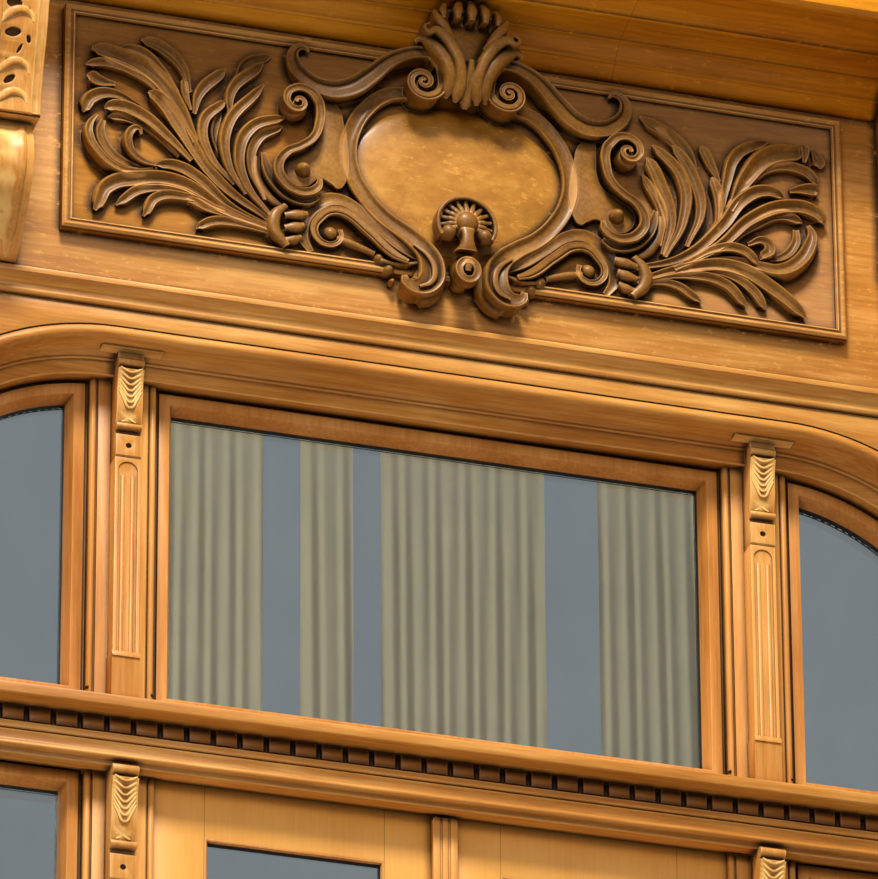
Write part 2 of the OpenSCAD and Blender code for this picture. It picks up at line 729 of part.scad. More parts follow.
module cornice_crown() {
    z = frieze_z + 240;
    color(timber) run(-half_w, half_w) polygon([
        [frieze_out - frieze_t, z], [soffit_out, z], [soffit_out + 14, z + 4], [soffit_out + 30, z + 20],
        [soffit_out + 44, z + 50], [crown_out - 24, z + 90], [crown_out - 6, z + 120], [crown_out - 4, z + 132],
        [crown_out, z + 132], [crown_out, z + 165], [frieze_out - frieze_t, z + crown_h]]);
}

module console_head(s) {
    z = console_z;
    color(timber) to_side(s) difference() {
        run(console_x, console_x + console_w) polygon(concat([
            [frieze_out, z], [console_out, z], [console_out + 4, z + 60], [console_out + 22, z + 140],
            [console_out + 58, z + 250], [console_out + 80, z + 360], [console_out + 84, z + 480],
            [console_out + 84, frieze_z + 200], [frieze_out, frieze_z + 200]]));
        run(console_x - 1, console_x + console_w + 1) polygon(concat(soffit_side(), [
            [soffit_out, frieze_z + 300], [frieze_out - frieze_t, frieze_z + 300],
                [frieze_out - frieze_t, frieze_z]]));
    }
}

module console_scroll(s) {
    z = console_z;
    inset = 12;
    color(timber) to_side(s) run(console_x + inset, console_x + console_w - inset) polygon([
        [frieze_out, z - scroll_h], [frieze_out + 40, z - scroll_h], [frieze_out + 92, z - scroll_h + 30],
        [console_out - 90, z - scroll_h + 90], [console_out - 30, z - scroll_h + 170],
        [console_out - 10, z - scroll_h + 240], [console_out - 20, z - 60], [console_out - 40, z - 20],
        [console_out - 40, z], [frieze_out, z]]);
}

// One door leaf frame
module leaf(s) {
    z1 = lock_rail_z;
    z2 = lock_rail_z + lock_rail;
    color(timber) to_side(s) difference() {
        block(meet_x, leaf_front, leaf_z, leaf_x, leaf_back, leaf_top);
        block(meet_x + meeting_stile, leaf_front - 1, leaf_z + bottom_rail,
            leaf_x - hinge_stile, leaf_back + 1, z1);
        block(meet_x + meeting_stile, leaf_front - 1, z2,
            leaf_x - hinge_stile, leaf_back + 1, leaf_top - top_rail);
        translate([lever_x, leaf_back + 1, lever_z]) rotate([90, 0, 0])
            cylinder(h = leaf_t + 2, r = lever_r + running_fit);
    }
}

module leaf_glass(s) {
    y = (leaf_front + leaf_back) / 2;
    color(pane) to_side(s) block(meet_x + meeting_stile, y - glass_t / 2, lock_rail_z + lock_rail,
        leaf_x - hinge_stile, y + glass_t / 2, leaf_top - top_rail);
}

module leaf_panel(s) {
    x0 = meet_x + meeting_stile;
    x1 = leaf_x - hinge_stile;
    z0 = leaf_z + bottom_rail;
    color(timber) to_side(s) {
        block(x0, leaf_front + 14, z0, x1, leaf_back - 14, lock_rail_z);
        block(x0 + 60, leaf_front + 4, z0 + 60, x1 - 60, leaf_front + 14 + e, lock_rail_z - 60);
    }
}

// Upper knuckle of each hinge, bored for its pin, with the plate on the leaf back
module leaf_hinges(s) {
    half = hinge_h / 2;
    color(brass) to_side(s) for (z = hinge_heights) {
        difference() {
            union() {
                translate([hinge_x, hinge_y, z + half + 0.3]) cylinder(h = half - 0.3, r = knuckle_r);
                block(leaf_x - 60, leaf_back, z + half + 0.3, hinge_x, leaf_back + 3, z + hinge_h);
            }
            translate([hinge_x, hinge_y, z + half]) cylinder(h = half - 6, r = pin_r + running_fit);
        }
    }
}

// Lower knuckle and pin of each hinge, with the plate on the post
module post_hinges(s) {
    half = hinge_h / 2;
    color(brass) to_side(s) for (z = hinge_heights) {
        translate([hinge_x, hinge_y, z]) cylinder(h = half, r = knuckle_r);
        translate([hinge_x, hinge_y, z + half - e]) cylinder(h = half - 8 + e, r = pin_r);
        block(hinge_x, leaf_back, z, rebate_x + 24, leaf_back + 3, z + half);
    }
}

// Lever on both sides of a leaf, turning on one spindle
module lever(s) {
    color(brass) to_side(s) translate([lever_x, 0, lever_z]) {
        translate([0, leaf_back + 50, 0]) rotate([90, 0, 0]) cylinder(h = leaf_t + 100, r = lever_r);
        for (y = [leaf_front - 50, leaf_back + 50 - 2 * lever_r])
            translate([0, y + lever_r, 0]) rotate([0, 90, 0]) cylinder(h = lever_len, r = lever_r);
    }
}

threshold();
outer_post(-1);  // left_outer_post
outer_post(1);  // right_outer_post
door_post(-1);  // left_door_post
door_post(1);  // right_door_post
fan_post(-1);  // left_fan_post
fan_post(1);  // right_fan_post
door_bracket(-1);  // left_door_bracket
door_bracket(1);  // right_door_bracket
fan_bracket(-1);  // left_fan_bracket
fan_bracket(1);  // right_fan_bracket
centre_mullion();
transom_beam();
transom_moulding();
dentil_course();
transom_sill();
side_sash(-1);  // left_side_sash
side_sash(1);  // right_side_sash
side_glass(-1);  // left_side_glass
side_glass(1);  // right_side_glass
apron(-1);  // left_apron
apron(1);  // right_apron
apron_panel(-1);  // left_apron_panel
apron_panel(1);  // right_apron_panel
fan_sash();
fan_glass();
side_fan_sash(-1);  // left_fan_sash
side_fan_sash(1);  // right_fan_sash
side_fan_glass(-1);  // left_fan_glass
side_fan_glass(1);  // right_fan_glass
head_beam();
arch_moulding();
head_board();
head_cyma();
frieze_board();
frieze_panel();
cartouche();
cartouche_boss();
foliage(-1);  // left_foliage
foliage(1);  // right_foliage
console_head(-1);  // left_console_head
console_head(1);  // right_console_head
console_scroll(-1);  // left_console_scroll
console_scroll(1);  // right_console_scroll
cornice_soffit();
cornice_crown();
curtain_rod();
fan_curtain();
leaf(-1);  // left_leaf
leaf(1);  // right_leaf
leaf_glass(-1);  // left_leaf_glass
leaf_glass(1);  // right_leaf_glass
leaf_panel(-1);  // left_leaf_panel
leaf_panel(1);  // right_leaf_panel
leaf_hinges(-1);  // left_leaf_hinges
leaf_hinges(1);  // right_leaf_hinges
post_hinges(-1);  // left_post_hinges
post_hinges(1);  // right_post_hinges
lever(-1);  // left_lever
lever(1);  // right_lever
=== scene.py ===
import math

import bmesh
import bpy
from mathutils import Matrix, Vector


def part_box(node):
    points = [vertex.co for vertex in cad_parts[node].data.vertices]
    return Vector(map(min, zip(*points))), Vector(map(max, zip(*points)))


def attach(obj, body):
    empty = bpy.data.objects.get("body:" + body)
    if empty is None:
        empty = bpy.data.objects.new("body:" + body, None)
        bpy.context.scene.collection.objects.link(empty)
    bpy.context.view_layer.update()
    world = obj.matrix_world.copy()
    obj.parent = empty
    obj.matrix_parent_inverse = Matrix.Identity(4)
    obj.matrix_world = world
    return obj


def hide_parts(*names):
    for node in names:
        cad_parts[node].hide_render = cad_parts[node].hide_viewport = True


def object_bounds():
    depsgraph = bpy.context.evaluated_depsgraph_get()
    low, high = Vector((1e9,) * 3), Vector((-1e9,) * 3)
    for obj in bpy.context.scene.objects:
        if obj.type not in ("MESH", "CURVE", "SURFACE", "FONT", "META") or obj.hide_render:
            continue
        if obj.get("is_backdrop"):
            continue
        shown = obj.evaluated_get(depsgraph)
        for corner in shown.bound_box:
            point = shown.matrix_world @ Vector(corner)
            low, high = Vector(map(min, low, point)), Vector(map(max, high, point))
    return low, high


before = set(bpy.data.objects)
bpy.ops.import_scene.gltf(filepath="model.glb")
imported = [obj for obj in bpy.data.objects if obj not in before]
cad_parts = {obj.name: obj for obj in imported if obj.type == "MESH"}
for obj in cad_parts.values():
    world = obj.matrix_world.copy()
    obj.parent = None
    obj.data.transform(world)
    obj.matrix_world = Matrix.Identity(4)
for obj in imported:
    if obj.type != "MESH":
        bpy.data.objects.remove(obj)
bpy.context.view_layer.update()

# The picture: seen from below and from the left, with a long lens.
# The camera stands lower than the ground line, so the floor is short.
eye = Vector((-6.6612, -21.4081, -8.2969))
right = Vector((0.95546, -0.29509, -0.00473))
ahead = Vector((0.26267, 0.84297, 0.46947))
focal_px, long_side_px = 8687.47, 879
camera = bpy.data.objects.new("camera", bpy.data.cameras.new("camera"))
camera.data.sensor_width = 36
camera.data.lens = focal_px * camera.data.sensor_width / long_side_px
camera.data.clip_end = 200
up = right.cross(ahead)
camera.matrix_world = Matrix.Translation(eye) @ Matrix((right, up, -ahead)).transposed().to_4x4()
bpy.context.scene.collection.objects.link(camera)
bpy.context.scene.camera = camera
bpy.context.scene.view_settings.view_transform = "Standard"


# The studio: a pale painted floor, one soft lamp high in front and to the left, and a pale surround.
# A weaker lamp fills the front, and a third stands behind, so that light comes through the cloth.
class Value:
    """A shader socket whose arithmetic adds Math nodes."""

    def __init__(self, finish, socket):
        self.finish, self.socket = finish, socket

    def sum(self, operation, first, second):
        return self.finish.add("ShaderNodeMath", {"operation": operation}, {0: first, 1: second})

    def __add__(self, other):
        return self.sum("ADD", self, other)

    def __radd__(self, other):
        return self.sum("ADD", other, self)

    def __sub__(self, other):
        return self.sum("SUBTRACT", self, other)

    def __rsub__(self, other):
        return self.sum("SUBTRACT", other, self)

    def __mul__(self, other):
        return self.sum("MULTIPLY", self, other)

    def __rmul__(self, other):
        return self.sum("MULTIPLY", other, self)

    def __gt__(self, other):
        return self.sum("GREATER_THAN", self, other)

    def __lt__(self, other):
        return self.sum("LESS_THAN", self, other)

    def clamped(self):
        return self.finish.add("ShaderNodeClamp", {}, {"Value": self})


class Finish:
    """A material, or the world, under construction."""

    def __init__(self, name, kind="materials"):
        self.block = getattr(bpy.data, kind).new(name)
        self.block.use_nodes = True
        self.tree = self.block.node_tree
        self.tree.nodes.clear()

    def add(self, kind, settings, inputs, out=0):
        node = self.tree.nodes.new(kind)
        for key, value in settings.items():
            if key == "stops":
                ramp = node.color_ramp
                while len(ramp.elements) < len(value):
                    ramp.elements.new(0.5)
                for stop, (place, colour) in zip(ramp.elements, value):
                    stop.position = place
                    stop.color = (*colour, 1)
            else:
                setattr(node, key, value)
        for key, value in inputs.items():
            if isinstance(value, Value):
                self.tree.links.new(value.socket, node.inputs[key])
            elif isinstance(value, tuple) and node.inputs[key].type == "RGBA":
                node.inputs[key].default_value = (*value, 1)
            else:
                node.inputs[key].default_value = value
        return Value(self, node.outputs[out]) if node.outputs else None

    def noise(self, scale, detail, rough):
        """Cloudy variation over the piece, with the number of clouds in a metre along each axis."""
        place = self.add("ShaderNodeTexCoord", {}, {}, out="Object")
        spread = self.add("ShaderNodeMapping", {}, {"Vector": place, "Scale": scale})
        return self.add("ShaderNodeTexNoise", {}, {
            "Vector": spread, "Scale": 1.0, "Detail": detail, "Roughness": rough})

    def along(self, axis):
        place = self.add("ShaderNodeTexCoord", {}, {}, out="Object")
        return self.add("ShaderNodeSeparateXYZ", {}, {0: place}, out=axis)

    def mixed(self, share, low, high):
        return self.add("ShaderNodeMix", {"data_type": "RGBA"}, {0: share, 6: low, 7: high}, out=2)

    def ramp(self, value, stops):
        return self.add("ShaderNodeValToRGB", {"stops": stops}, {"Fac": value})

    def bump(self, height, strength, distance):
        return self.add("ShaderNodeBump", {}, {"Strength": strength, "Distance": distance, "Height": height})

    def shader(self, **inputs):
        sockets = {key.replace("_", " "): value for key, value in inputs.items()}
        return self.add("ShaderNodeBsdfPrincipled", {}, sockets)

    def surface(self, shader):
        self.add("ShaderNodeOutputMaterial", {}, {"Surface": shader})
        return self.block


sky = Finish("studio_sky", "worlds")
seen = sky.add("ShaderNodeLightPath", {}, {}, out="Is Camera Ray")
glossy = sky.add("ShaderNodeLightPath", {}, {}, out="Is Glossy Ray")
through = sky.add("ShaderNodeLightPath", {}, {}, out="Is Transmission Ray")
direction = sky.add("ShaderNodeTexCoord", {}, {}, out="Generated")
height = sky.add("ShaderNodeSeparateXYZ", {}, {0: direction}, out="Z")
glow = sky.ramp(height * 0.5 + 0.5, [
    (0.0, (0.10, 0.065, 0.035)), (0.46, (0.18, 0.14, 0.10)), (0.6, (0.60, 0.62, 0.62)),
    (1.0, (0.85, 0.90, 0.95))])
soft = sky.add("ShaderNodeBackground", {}, {"Color": glow, "Strength": 0.5})
pale = sky.add("ShaderNodeBackground", {}, {"Color": (0.53, 0.57, 0.62), "Strength": 1.0})
shown = (seen + glossy * 0.2 + through).clamped()
surround = sky.add("ShaderNodeMixShader", {}, {0: shown, 1: soft, 2: pale})
sky.add("ShaderNodeOutputWorld", {}, {"Surface": surround})
bpy.context.scene.world = sky.block

floor_finish = Finish("studio_floor")
floor_finish.surface(floor_finish.shader(Base_Color=(0.58, 0.57, 0.56), Roughness=0.9))
floor_sheet = bmesh.new()
bmesh.ops.create_grid(floor_sheet, x_segments=1, y_segments=1, size=1)
floor_place = Matrix.Translation((0, 1.3, -0.001)) @ Matrix.Diagonal((7, 4.5, 1, 1))
bmesh.ops.transform(floor_sheet, matrix=floor_place, verts=floor_sheet.verts)
floor_mesh = bpy.data.meshes.new("floor")
floor_sheet.to_mesh(floor_mesh)
floor = bpy.data.objects.new("floor", floor_mesh)
floor_mesh.materials.append(floor_finish.block)
bpy.context.scene.collection.objects.link(floor)
floor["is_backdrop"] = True


def lamp(name, place, target, size, power, colour):
    light = bpy.data.lights.new(name, "AREA")
    light.shape, light.size, light.energy, light.color = "DISK", size, power, colour
    holder = bpy.data.objects.new(name, light)
    holder.location = place
    holder.rotation_euler = (Vector(target) - Vector(place)).to_track_quat("-Z", "Y").to_euler()
    bpy.context.scene.collection.objects.link(holder)


lamp("key", (-2.2, -7.2, 13.0), (0, -0.2, 3.4), 3.0, 2100, (1.0, 0.94, 0.83))
lamp("fill", (-3.0, -13.0, 6.0), (0, -0.2, 3.4), 4.0, 360, (1.0, 0.93, 0.84))
lamp("back", (-5.5, 6.5, 3.2), (0, 0, 3.0), 3.5, 750, (1.0, 0.95, 0.86))


# Threshold, posts and pilasters: straight oak, planed and varnished honey brown, mortised together.
# Fine grain runs along each member over a slow drift of tone, with dirt and painted shade darkening the
# quirks, and paler worn edges that are partly a painted highlight.
level_grain = (0.06, 1, 1)


def oak(name, dark, middle, light, grain=(1, 1, 0.06), gloss=0.45, shade_and_soil_strength=0.9, edge_wear_and_highlight=0.3, flakes=0.0, coat=0.12,
        shade_and_black_bands=(), joints=()):
    """Varnished oak; the dark bands hold (axis, near, far, shade) of faces painted dark, as painted shade on
    sunk faces and as black paint in glazing rebates; joints the x of butt joints.
    """
    joint_gap = 0.0012
    finish = Finish(name)
    fibre = finish.noise(tuple(90 * g for g in grain), 4, 0.65)
    drift = finish.noise(tuple(4 * g ** 0.5 for g in grain), 3, 0.6)
    tone = (drift * 0.62 + fibre * 0.38).clamped()
    colour = finish.ramp(tone, [(0.36, dark), (0.5, middle), (0.64, light)])
    # Occlusion darkens quirks, corners and recesses towards a dark brown: partly dirt, partly painted shade.
    recess = finish.add("ShaderNodeAmbientOcclusion", {"samples": 6}, {"Distance": 0.03}, out="AO")
    painted_shade_and_soil = ((0.92 - recess) * (shade_and_soil_strength * 2.2)).clamped()
    colour = finish.mixed(painted_shade_and_soil, colour, tuple(c * 0.1 for c in dark))
    # Inside occlusion lightens the arrises above the light tone: partly wear, partly a painted highlight.
    edge = finish.add("ShaderNodeAmbientOcclusion", {"samples": 6, "inside": True}, {"Distance": 0.006},
                      out="AO")
    worn_edge_highlight = ((1 - edge) * finish.noise((14, 14, 14), 3, 0.6) * (edge_wear_and_highlight * 2.4)).clamped()
    colour = finish.mixed(worn_edge_highlight, colour, tuple(min(1, c * 1.3 + 0.04) for c in light))
    if flakes:
        chips = finish.noise((26, 26, 60), 5, 0.7)
        bare = ((chips - (0.74 - flakes)) * 14).clamped()
        colour = finish.mixed(bare * 0.5, colour, tuple(min(1, c * 1.15) for c in light))
    for place in joints:
        off = finish.along("X") - place
        crack = (off > -joint_gap) * (off < joint_gap) * 0.5
        colour = finish.mixed(crack, colour, tuple(c * 0.12 for c in dark))
    rough = (gloss + (fibre - 0.5) * 0.16 + painted_shade_and_soil * 0.3).clamped()
    # Each band is painted in its colour: painted shade on sunk faces, black paint in glazing rebates.
    for axis, near, far, shade in shade_and_black_bands:
        deep = (finish.along(axis) > near) * (finish.along(axis) < far)
        colour = finish.mixed(deep, colour, shade)
    ripple = finish.noise((9, 9, 9), 2, 0.5)
    uneven = finish.bump(fibre * 0.6 + ripple * 0.4, 0.22, 0.002)
    return finish.surface(finish.shader(Base_Color=colour, Roughness=rough, Normal=uneven, Coat_Weight=coat,
                                        Coat_Roughness=0.25, Specular_IOR_Level=0.28))


def finished(mesh, name, finish, body, slot, *nodes, smooth=32):
    """The mesh as a piece that rides on its body and stands for its nodes."""
    mesh.materials.clear()
    mesh.materials.append(finish)
    mesh.shade_smooth()
    mesh.set_sharp_from_angle(angle=math.radians(smooth))
    piece = bpy.data.objects.new(name, mesh)
    bpy.context.scene.collection.objects.link(piece)
    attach(piece, body)
    if nodes:
        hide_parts(*nodes)
    return piece


def eased(node, finish, body="surround", slot="honey_oak", edge=0.0016):
    """A member with its arrises eased by the plane, in place of its plain solid."""
    work = bmesh.new()
    work.from_mesh(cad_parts[node].data)
    bmesh.ops.remove_doubles(work, verts=work.verts, dist=2e-5)
    bmesh.ops.dissolve_limit(work, angle_limit=math.radians(1), verts=work.verts, edges=work.edges)
    arrises = [e for e in work.edges if e.is_manifold and e.calc_face_angle() > math.radians(35)]
    bmesh.ops.bevel(work, geom=arrises, offset=edge, offset_type="OFFSET", affect="EDGES", segments=2,
                    profile=0.5, material=-1, clamp_overlap=True)
    mesh = bpy.data.meshes.new(node + "_eased")
    work.to_mesh(mesh)
    work.free()
    return finished(mesh, node + "_eased", finish, body, slot, node)


upright = oak("upright_oak", (0.54, 0.20, 0.030), (0.72, 0.31, 0.062), (0.84, 0.42, 0.11))
tread = oak("threshold_oak", (0.20, 0.12, 0.06), (0.27, 0.165, 0.085), (0.36, 0.23, 0.13), grain=level_grain,
            gloss=0.6, coat=0.0)
eased("threshold", tread, slot="threshold_oak")
for side in ("left", "right"):
    for node in ("outer_post", "door_post", "fan_post"):
        eased(f"{side}_{node}", upright)
eased("centre_mullion", upright)

# Transom: a beam across the whole front, with a moulding, a row of dentils and a worn sill planted on it.
# All of it is oak run through the spindle moulder in long lengths, so the grain lies level.
level_oak = oak("level_oak", (0.44, 0.15, 0.016), (0.62, 0.255, 0.04), (0.82, 0.42, 0.11), grain=level_grain,
                edge_wear_and_highlight=1.0, shade_and_soil_strength=1.6)
# The dentils take a darker copy of the level oak, as painted shade under the sill's nosing.
dentil_shade_copy = oak("dentil_painted_shade_oak", (0.24, 0.08, 0.007), (0.36, 0.135, 0.016), (0.52, 0.22, 0.04),
                grain=level_grain, edge_wear_and_highlight=0.8, shade_and_soil_strength=1.8)
for node in ("transom_beam", "transom_moulding", "transom_sill"):
    eased(node, level_oak, edge=0.004)
eased("dentil_course", dentil_shade_copy, edge=0.003)

# Sashes and aprons of the lights: oak frames with a splayed inner edge and a black glazing rebate.
# The panes are grey tinted glass, bedded against the rebate from inside.
rebate_black = (0.012, 0.011, 0.011)
sash_oak = oak("sash_oak", (0.48, 0.165, 0.022), (0.64, 0.255, 0.048), (0.78, 0.36, 0.09),
               shade_and_black_bands=[("Y", 0.0008, 0.0352, rebate_black)])
for side in ("left", "right"):
    for node in ("side_sash", "fan_sash"):
        eased(f"{side}_{node}", sash_oak)
    for node in ("apron", "apron_panel"):
        eased(f"{side}_{node}", upright)
eased("fan_sash", sash_oak)

tinted = Finish("tinted_glass")
waves = tinted.noise((2.2, 2.2, 1.4), 2, 0.5)
film = tinted.noise((5, 5, 3), 4, 0.6)
glass = tinted.surface(tinted.shader(
    Base_Color=tinted.mixed(film, (0.28, 0.31, 0.31), (0.37, 0.39, 0.37)), Roughness=(film * 0.05).clamped(),
    IOR=1.6, Transmission_Weight=1.0, Normal=tinted.bump(waves, 0.12, 0.004)))


def dressed(node, finish):
    """A plain solid that needs no more than its finish."""
    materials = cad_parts[node].data.materials
    materials.clear()
    materials.append(finish)


for node in ("left_side_glass", "right_side_glass", "left_fan_glass", "right_fan_glass", "fan_glass",
             "left_leaf_glass", "right_leaf_glass"):
    dressed(node, glass)

# Curtain behind the fanlight: four lengths of sheer cream cloth on a brass rod.
# Each is cut wider than it hangs and gathered on the rod, so it falls in soft folds to the sill.
brass_finish = Finish("brass")
tarnish = brass_finish.noise((30, 30, 30), 4, 0.6)
brass = brass_finish.surface(brass_finish.shader(
    Base_Color=brass_finish.ramp(tarnish, [(0.3, (0.42, 0.25, 0.08)), (0.7, (0.80, 0.56, 0.22))]),
    Metallic=1.0, Roughness=(tarnish * 0.25 + 0.18).clamped(),
    Normal=brass_finish.bump(tarnish, 0.1, 0.0005)))
dressed("curtain_rod", brass)

voile = Finish("sheer_cloth")
threads = [voile.add("ShaderNodeTexWave", {"bands_direction": way},
                     {"Vector": voile.add("ShaderNodeUVMap", {}, {}), "Scale": 300.0}) for way in "XY"]
faded = voile.noise((3, 3, 1), 3, 0.5)
cream = voile.mixed(faded, (0.80, 0.66, 0.42), (0.93, 0.80, 0.56))
weave = voile.bump(threads[0] + threads[1], 0.2, 0.0004)
front = voile.shader(Base_Color=cream, Roughness=0.8, Normal=weave)
lit = voile.add("ShaderNodeBsdfTranslucent", {}, {"Color": (0.95, 0.81, 0.56)})
sheer = voile.surface(voile.add("ShaderNodeMixShader", {}, {0: 0.6, 1: front, 2: lit}))

rod_low, rod_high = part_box("curtain_rod")
hung_low, hung_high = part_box("fan_curtain")
rod_y = (rod_low.y + rod_high.y) / 2
fold_width, pleat_width, heading_h = 0.048, 0.031, 0.35


def fold(x, drop):
    """Distance of the cloth behind the rod's line: small at the heading, full below."""
    deep = 0.003 + 0.0065 * min(1, drop / heading_h)
    bend = 0.9 * math.sin(x * 9) + 1.3 * drop * math.sin(x * 5.3)
    broad = math.sin(math.tau * x / fold_width + bend)
    narrow = 0.3 * math.sin(math.tau * x / pleat_width - 2 * drop)
    return deep * (broad + narrow) / 1.3


lengths = [(hung_low.x, -0.51), (-0.40, -0.24), (-0.156, 0.348), (0.51, hung_high.x)]
drop = hung_high.z - hung_low.z
for i, (x0, x1) in enumerate(lengths):
    columns, rows = round((x1 - x0) / 0.004), 30
    work = bmesh.new()
    sewn = work.loops.layers.uv.new("UVMap")
    bmesh.ops.create_grid(work, x_segments=columns, y_segments=rows, size=0.5)
    for vertex in work.verts:
        x, down = x0 + (vertex.co.x + 0.5) * (x1 - x0), (0.5 - vertex.co.y) * drop
        vertex.co = (x, rod_y + fold(x, down), hung_high.z - down)
    steps = [x0 + (x1 - x0) * k / columns for k in range(columns + 1)]
    cut_width = sum(math.hypot(b - a, fold(b, drop / 2) - fold(a, drop / 2))
                    for a, b in zip(steps, steps[1:]))
    for face in work.faces:
        for loop in face.loops:
            loop[sewn].uv = ((loop.vert.co.x - x0) * cut_width / (x1 - x0), loop.vert.co.z)
    mesh = bpy.data.meshes.new(f"curtain_{i}")
    work.to_mesh(mesh)
    work.free()
    cloth = finished(mesh, f"curtain_{i}", sheer, "surround", "sheer_curtain", "fan_curtain", smooth=80)

# Door leaves: oak stiles and rails round a pane and a raised panel, in a brighter varnish than the frame's.
# The glazing bead is mitred round the pane, and the levers and lift-off hinges are brass.
stile_edges = (-0.704, -0.173, 0.173, 0.704)
leaf_oak = oak("leaf_oak", (0.84, 0.370, 0.076), (0.91, 0.430, 0.092), (0.95, 0.48, 0.112), gloss=0.4,
               shade_and_soil_strength=0.7, joints=stile_edges)
bead_oak = oak("bead_oak", (0.50, 0.17, 0.028), (0.67, 0.265, 0.055), (0.80, 0.38, 0.10),
               shade_and_black_bands=[("Y", -0.037, 0.1, rebate_black)])


def moulded_ring(x0, z0, x1, z1, back, steps):
    """A mitred frame; each step of its section goes inwards, and then outwards or back."""
    work = bmesh.new()
    bmesh.ops.create_grid(work, x_segments=1, y_segments=1, size=0.5)
    place = Matrix.Translation(((x0 + x1) / 2, back, (z0 + z1) / 2))
    upright_turn = Matrix.Rotation(math.radians(90), 4, "X")
    size = Matrix.Diagonal((x1 - x0, z1 - z0, 1, 1))
    bmesh.ops.transform(work, matrix=place @ upright_turn @ size, verts=work.verts)
    work.normal_update()
    middle = work.faces[:]
    for inward, outward in steps:
        bmesh.ops.inset_region(work, faces=middle, thickness=inward, depth=outward, use_boundary=True,
                               use_even_offset=True)
    bmesh.ops.delete(work, geom=middle, context="FACES_ONLY")
    bmesh.ops.bridge_loops(work, edges=[edge for edge in work.edges if edge.is_boundary])
    bmesh.ops.recalc_face_normals(work, faces=work.faces)
    mesh = bpy.data.meshes.new("ring")
    work.to_mesh(mesh)
    work.free()
    return mesh


for side in ("left", "right"):
    door = f"{side}_door"
    eased(f"{side}_leaf", leaf_oak, door)
    eased(f"{side}_leaf_panel", leaf_oak, door)
    low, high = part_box(f"{side}_leaf_glass")
    bead = moulded_ring(low.x, low.z, high.x, high.z, low.y, [
        (0.0002, 0.0235), (0.003, 0.001), (0.004, -0.0015), (0.003, -0.007), (0.004, -0.016)])
    finished(bead, f"{side}_leaf_bead", bead_oak, door, "honey_oak")
    for node in ("leaf_hinges", "post_hinges", "lever"):
        dressed(f"{side}_{node}", brass)

# Head of the fanlight: an oak beam cut to the shouldered arch, and the big arch moulding planted round it.
# A board and a cyma run above. These mouldings are weathered more than the frame, and their edges are painted
# golden, partly as wear and partly as a painted highlight.
for node in ("head_beam", "arch_moulding", "head_board", "head_cyma"):
    eased(node, level_oak, edge=0.004)

# Frieze: a plain oak board with a sunk panel planted on it, edged by a round bead and a thin fillet.
# The varnish is darker here and has begun to flake.
panel_low, panel_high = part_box("frieze_panel")
ground_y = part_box("cartouche_boss")[1].y
board_oak = oak("frieze_oak", (0.38, 0.14, 0.018), (0.57, 0.25, 0.045), (0.78, 0.40, 0.11), grain=level_grain,
                flakes=0.16, shade_and_soil_strength=1.5)
# The side faces of the panel, from just behind its front to just before the carved ground, are painted
# near-black as painted shade.
ground_oak = oak("panel_ground_oak", (0.25, 0.085, 0.004), (0.37, 0.140, 0.010), (0.48, 0.205, 0.026),
                 grain=(0.1, 1, 1), shade_and_soil_strength=1.4, flakes=0.15,
                 shade_and_black_bands=[("Y", panel_low.y + 0.004, ground_y - 0.001, (0.045, 0.016, 0.002))])
eased("frieze_board", board_oak)
eased("frieze_panel", ground_oak, slot="carved_oak")
round_steps = [(0.0025, 0.0035), (0.004, 0.0025), (0.004, 0.0), (0.004, -0.0025), (0.0025, -0.0035)]
square_steps = [(0.001, 0.003), (0.003, 0.0), (0.001, -0.003)]
for name, inset, steps in ("panel_bead", 0.001, round_steps), ("panel_fillet", 0.024, square_steps):
    ring = moulded_ring(panel_low.x + inset, panel_low.z + inset, panel_high.x - inset,
                        panel_high.z - inset, panel_low.y, steps)
    finished(ring, name, board_oak, "surround", "carved_oak")

# The carved cartouche: bands cut from oak with the gouge, undercut at their sides and glued to the panel.
# Each band is a middle line with its width and how far it stands above the ground.
# Its section is one cut of the gouge across it, from one side at -1 to the other at 1.
carved = oak("carved_oak", (0.15, 0.055, 0.004), (0.26, 0.105, 0.010), (0.40, 0.18, 0.030), grain=(1, 1, 1),
             shade_and_soil_strength=1.4, edge_wear_and_highlight=0.8)
panel_mid = (panel_low.z + panel_high.z) / 2
mm, metre = 0.001, 1000

RIBBON = [(-1, 0.1), (-0.95, 0.62), (-0.84, 0.8), (-0.7, 0.7), (-0.5, 0.66), (-0.1, 0.74), (0.25, 0.66),
          (0.42, 0.42), (0.54, 0.5), (0.68, 0.92), (0.82, 1), (0.94, 0.8), (1, 0.2)]
CHANNEL = [(-1, 0.1), (-0.95, 0.7), (-0.82, 0.95), (-0.66, 0.86), (-0.42, 0.5), (0, 0.4), (0.38, 0.5),
           (0.6, 0.9), (0.78, 1), (0.93, 0.8), (1, 0.1)]
LIP = [(-1, 0.15), (-0.93, 0.85), (-0.82, 1), (-0.68, 0.94), (-0.56, 0.66), (-0.4, 0.42), (-0.05, 0.3),
       (0.35, 0.36), (0.66, 0.54), (0.84, 0.74), (0.95, 0.6), (1, 0.0)]
BEAD = [(-1, 0.0), (-0.93, 0.42), (-0.72, 0.76), (-0.4, 0.95), (0, 1), (0.4, 0.95), (0.72, 0.76),
        (0.93, 0.42), (1, 0.0)]


